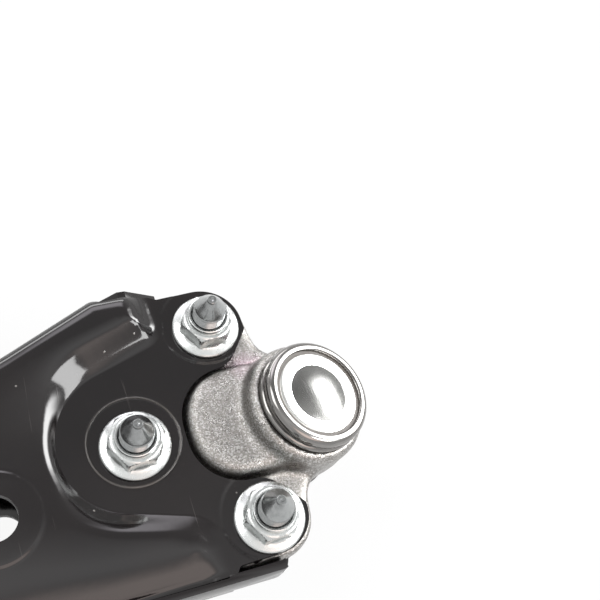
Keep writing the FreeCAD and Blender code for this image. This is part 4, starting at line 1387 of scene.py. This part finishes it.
# --------------------------------------------------------------------------- soft pieces
@dataclass
class Boot:
    """The dust boot: one bellows round the joint, from the seat at its rim to the stud at its neck."""

    finishes: Finishes
    lip: float = 16.55
    neck: float = 8.35

    def build(self, place: Matrix) -> bpy.types.Object:
        """Builds the boot.

        Args:
            place: the ball's centre with the joint's axis as Z, in metres.

        Returns:
            The piece.
        """
        lip, neck = self.lip, self.neck
        outer = [
            (lip + 1.3, -9.3), (lip + 1.7, -9.7), (lip + 1.75, -11.2), (lip + 2.6, -12.3), (lip + 3.5, -13.6),
            (lip + 3.8, -15.0), (lip + 3.5, -16.6), (lip + 2.3, -18.2), (lip - 0.4, -19.4),
            (neck + 5.6, -20.4), (neck + 4.2, -21.3), (neck + 3.0, -22.3), (neck + 2.0, -23.3),
            (neck + 1.6, -24.2), (neck + 1.6, -26.2), (neck + 1.2, -26.8),
        ]
        inner = [
            (neck + 0.05, -26.7), (neck + 0.05, -23.2), (neck + 1.2, -22.0), (neck + 3.4, -20.4),
            (lip - 0.9, -18.3), (lip + 1.7, -17.0), (lip + 2.3, -15.2), (lip + 1.9, -13.8),
            (lip + 0.05, -12.2),
            (lip + 0.05, -9.4),
        ]
        piece = lathe("dust_boot_bellows", outer + inner, place)
        apply_modifier(piece, "SUBSURF", levels=1, render_levels=1)
        smooth_by_angle(piece, 50)
        start, end = (place @ Vector((0, 0, z * MM)) for z in (-12.5, -24.0))
        return self.finishes.dress(piece, Body.SEAT, Slot.RUBBER, "dust_boot", other="boot",
                                   blend=(Body.NECK, start, end))


@dataclass
class RearWebs:
    """The two rubber webs of the rear bush, stretched between the lining and the hub."""

    finishes: Finishes
    voxel: float = 0.7

    def build(self) -> int:
        """Builds both webs.

        Returns:
            How many were made.
        """
        centre = box_centre("rear_bush_hub") * MM
        for name, side in (("rear_bush_web_rear", 1.0), ("rear_bush_web_front", -1.0)):
            piece = merged_copy(name, name + "_moulded")
            apply_modifier(piece, "REMESH", mode="VOXEL", voxel_size=self.voxel * MM)
            apply_modifier(piece, "SMOOTH", factor=0.5, iterations=4)
            smooth_by_angle(piece, 50)
            start, end = (centre + Vector((0, side * reach * MM, 0)) for reach in (26.5, 19.5))
            self.finishes.dress(piece, Body.ARM, Slot.RUBBER, name, blend=(Body.REAR_PIVOT, start, end))
        return 2


# --------------------------------------------------------------------------- studio
@dataclass
class Studio:
    """White sweep, soft boxes and the close camera."""

    lens: float = 52.8
    camera_at: tuple[float, float, float] = (0.2629, -0.0980, 0.2612)
    turn: tuple[float, float, float] = (2.644, -0.401, 0.381)
    floor_level: float = -0.0555
    fibre_mm: float = 30.0
    focus: tuple[float, float, float] = (0.29, -0.02, 0.01)
    fade_from: float = 0.12
    ceiling: float = 0.5
    front_lift: float = 0.7
    paper_lift: float = 0.9
    ambient: float = 0.75

    def camera(self) -> None:
        """Places the camera. Its turn is the axis and angle from the frame to right, down and ahead."""
        turn = Vector(self.turn)
        rotation = Matrix.Rotation(turn.length, 3, turn.normalized())
        data = bpy.data.cameras.new("close_up")
        data.lens = self.lens
        data.sensor_width = 36.0
        data.clip_start, data.clip_end = 0.01, 20.0
        item = bpy.data.objects.new("close_up", data)
        bpy.context.scene.collection.objects.link(item)
        right, down, ahead = rotation[0], rotation[1], rotation[2]
        axes = Matrix((right, -down, -ahead)).transposed()
        item.matrix_world = Matrix.Translation(self.camera_at) @ axes.to_4x4()
        bpy.context.scene.camera = item

    def floor(self) -> None:
        """Lays the white floor."""
        bpy.ops.object.select_all(action="DESELECT")
        bpy.ops.mesh.primitive_plane_add(size=8.0, location=(0.17, 0.1, self.floor_level))
        floor = bpy.context.object
        floor.name = "floor"
        n = Shading("matt_white_paper")
        fibres = n.mix(n.noise(self.fibre_mm), "#FEFEFE", "#FAFAFA")
        paper = n.add("BsdfPrincipled", {"Base Color": fibres, "Roughness": 1.0, "Specular IOR Level": 0.0})
        # The paper reads as plain white, and keeps a pale shadow under the arm.
        lift = n.math("MULTIPLY", n.add("LightPath", output="Is Camera Ray"), self.paper_lift)
        glow = n.add("Emission", {"Color": "#FFFFFF"})
        floor.data.materials.append(n.cover(lift, paper, glow))

    def facing(self, place: tuple, target: tuple) -> Euler:
        """Rotation that turns a lamp's or a panel's face from a place to a target."""
        return (Vector(target) - Vector(place)).to_track_quat("-Z", "Y").to_euler()

    def soft_box(self, name: str, place: tuple, target: tuple, size: tuple[float, float],
                 power: float) -> None:
        """Hangs a soft box.

        Args:
            name: the lamp's name.
            place: where it hangs, in metres.
            target: what it faces.
            size: its width and height in metres.
            power: its power in watts.
        """
        data = bpy.data.lights.new(name, "AREA")
        data.shape = "RECTANGLE"
        data.size, data.size_y = size
        data.energy = power
        item = bpy.data.objects.new(name, data)
        item.location = place
        item.rotation_euler = self.facing(place, target)
        item.visible_camera = False
        bpy.context.scene.collection.objects.link(item)

    def reflector(self, name: str, place: tuple, target: tuple, size: tuple[float, float],
                  strength: float, tint: str = "#FFFFFF") -> None:
        """Hangs a diffusing panel that shows only as a reflection, and fades to its edges.

        Args:
            name: the panel's name.
            place: where it hangs, in metres.
            target: what it faces.
            size: its width and height in metres.
            strength: how bright its middle is, where the white surround is 1.
            tint: its colour.
        """
        bpy.ops.object.select_all(action="DESELECT")
        bpy.ops.mesh.primitive_plane_add(size=1.0)
        panel = bpy.context.object
        panel.name = name
        panel.location = place
        panel.rotation_euler = self.facing(place, target)
        panel.scale = (size[0], size[1], 1.0)
        panel.visible_camera = panel.visible_diffuse = panel.visible_shadow = False
        n = Shading(name + "_glow")
        axes, _ = n.add("SeparateXYZ", {"Vector": n.at})
        fades = [n.span(n.math("ABSOLUTE", (axes, axis)), 1.0, 0.0, self.fade_from, 0.5,
                        interpolation_type="SMOOTHERSTEP") for axis in ("X", "Y")]
        fade = n.math("MULTIPLY", *fades)
        glow = n.add("Emission", {"Color": tint, "Strength": n.math("MULTIPLY", fade, strength)})
        panel.data.materials.append(n.cover(fade, n.add("BsdfTransparent"), glow))

    def world(self) -> None:
        """Surrounds the scene with a white horizon under a darker ceiling. The camera sees plain white."""
        world = bpy.data.worlds.new("white_surround")
        world.use_nodes = True
        n = Nodes(world.node_tree)
        axes, _ = n.add("SeparateXYZ", {"Vector": (n.place, "Generated")})
        path, _ = n.add("LightPath")
        ceiling = n.span((axes, "Z"), 1.0, self.ceiling, 0.15, 0.85, interpolation_type="SMOOTHSTEP")
        # The front half of the ceiling is lighter, which lights the turned-down front of the crown.
        front = n.span((axes, "Y"), 0.0, self.front_lift, 0.3, -0.15)
        front = n.math("MULTIPLY", front, n.span((axes, "Z"), 0.0, 1.0, 0.4, 0.85))
        # Reflections see the surround at full strength, and matt faces get less light from it.
        mirror = n.math("MAXIMUM", (path, "Is Glossy Ray"), (path, "Is Transmission Ray"))
        level = n.math("MULTIPLY", n.span(mirror, self.ambient, 1.0), n.math("ADD", ceiling, front))
        strength = n.math("MAXIMUM", level, (path, "Is Camera Ray"))
        n.add("OutputWorld", {"Surface": n.add("Background", {"Color": "#FFFFFF", "Strength": strength})})
        bpy.context.scene.world = world

    def build(self) -> None:
        """Builds the studio."""
        self.camera()
        self.floor()
        self.world()
        focus = self.focus
        self.reflector("side_panel", (1.07, 0.09, 0.43), focus, (0.98, 0.6), 18.0)
        self.reflector("front_panel", (0.40, -0.8, 0.85), focus, (1.4, 1.3), 2.8, "#F0E2DC")
        self.reflector("rear_panel", (0.45, 1.0, 0.8), focus, (1.4, 0.9), 4.2, "#F2EEF4")
        self.soft_box("side_box", (1.0, -0.5, 0.8), focus, (0.4, 0.4), 5.0)
        self.soft_box("rear_box", (0.25, 1.1, 0.3), focus, (1.2, 0.22), 4.0)
        self.soft_box("top_box", (-0.4, 0.5, 1.3), (0.17, 0.1, 0.0), (0.8, 0.8), 9.0)
        bpy.context.scene.view_settings.view_transform = "Standard"


# --------------------------------------------------------------------------- main
def ball_place() -> Matrix:
    """The ball's centre with the joint's axis as Z, read from the frame's joints."""
    joint = next(j for j in frame["joints"] if j["name"] == "stud_swing")
    lean = Vector((0, 0, 1)).rotation_difference(Vector(joint["axis"]))
    return Matrix.Translation(Vector(joint["pos_m"])) @ lean.to_matrix().to_4x4()


def main() -> None:
    """Builds the arm's pieces in order, then the studio."""
    finishes = Finishes().build()
    log.info("finishes: %d", len(finishes.made) + len(finishes.extra))
    lid = UpperShell(finishes).build()
    log.info("upper shell: %d faces", len(lid.data.polygons))
    log.info("refined pieces: %d", RefinedPieces(finishes).build())
    forging = Forging(finishes).build()
    log.info("forging: %d faces", len(forging.data.polygons))
    log.info("weld beads: %d", WeldBeads(finishes).build())
    SnubberFlash(finishes).build()
    log.info("joint head: %d", JointHead(finishes).build(ball_place()))
    log.info("bolts and nuts: %d", Bolts(finishes).build() + Nuts(finishes).build())
    boot = Boot(finishes).build(ball_place())
    log.info("boot: %d faces", len(boot.data.polygons))
    log.info("rear webs: %d", RearWebs(finishes).build())
    Studio().build()


if __name__ == "__main__":
    main()
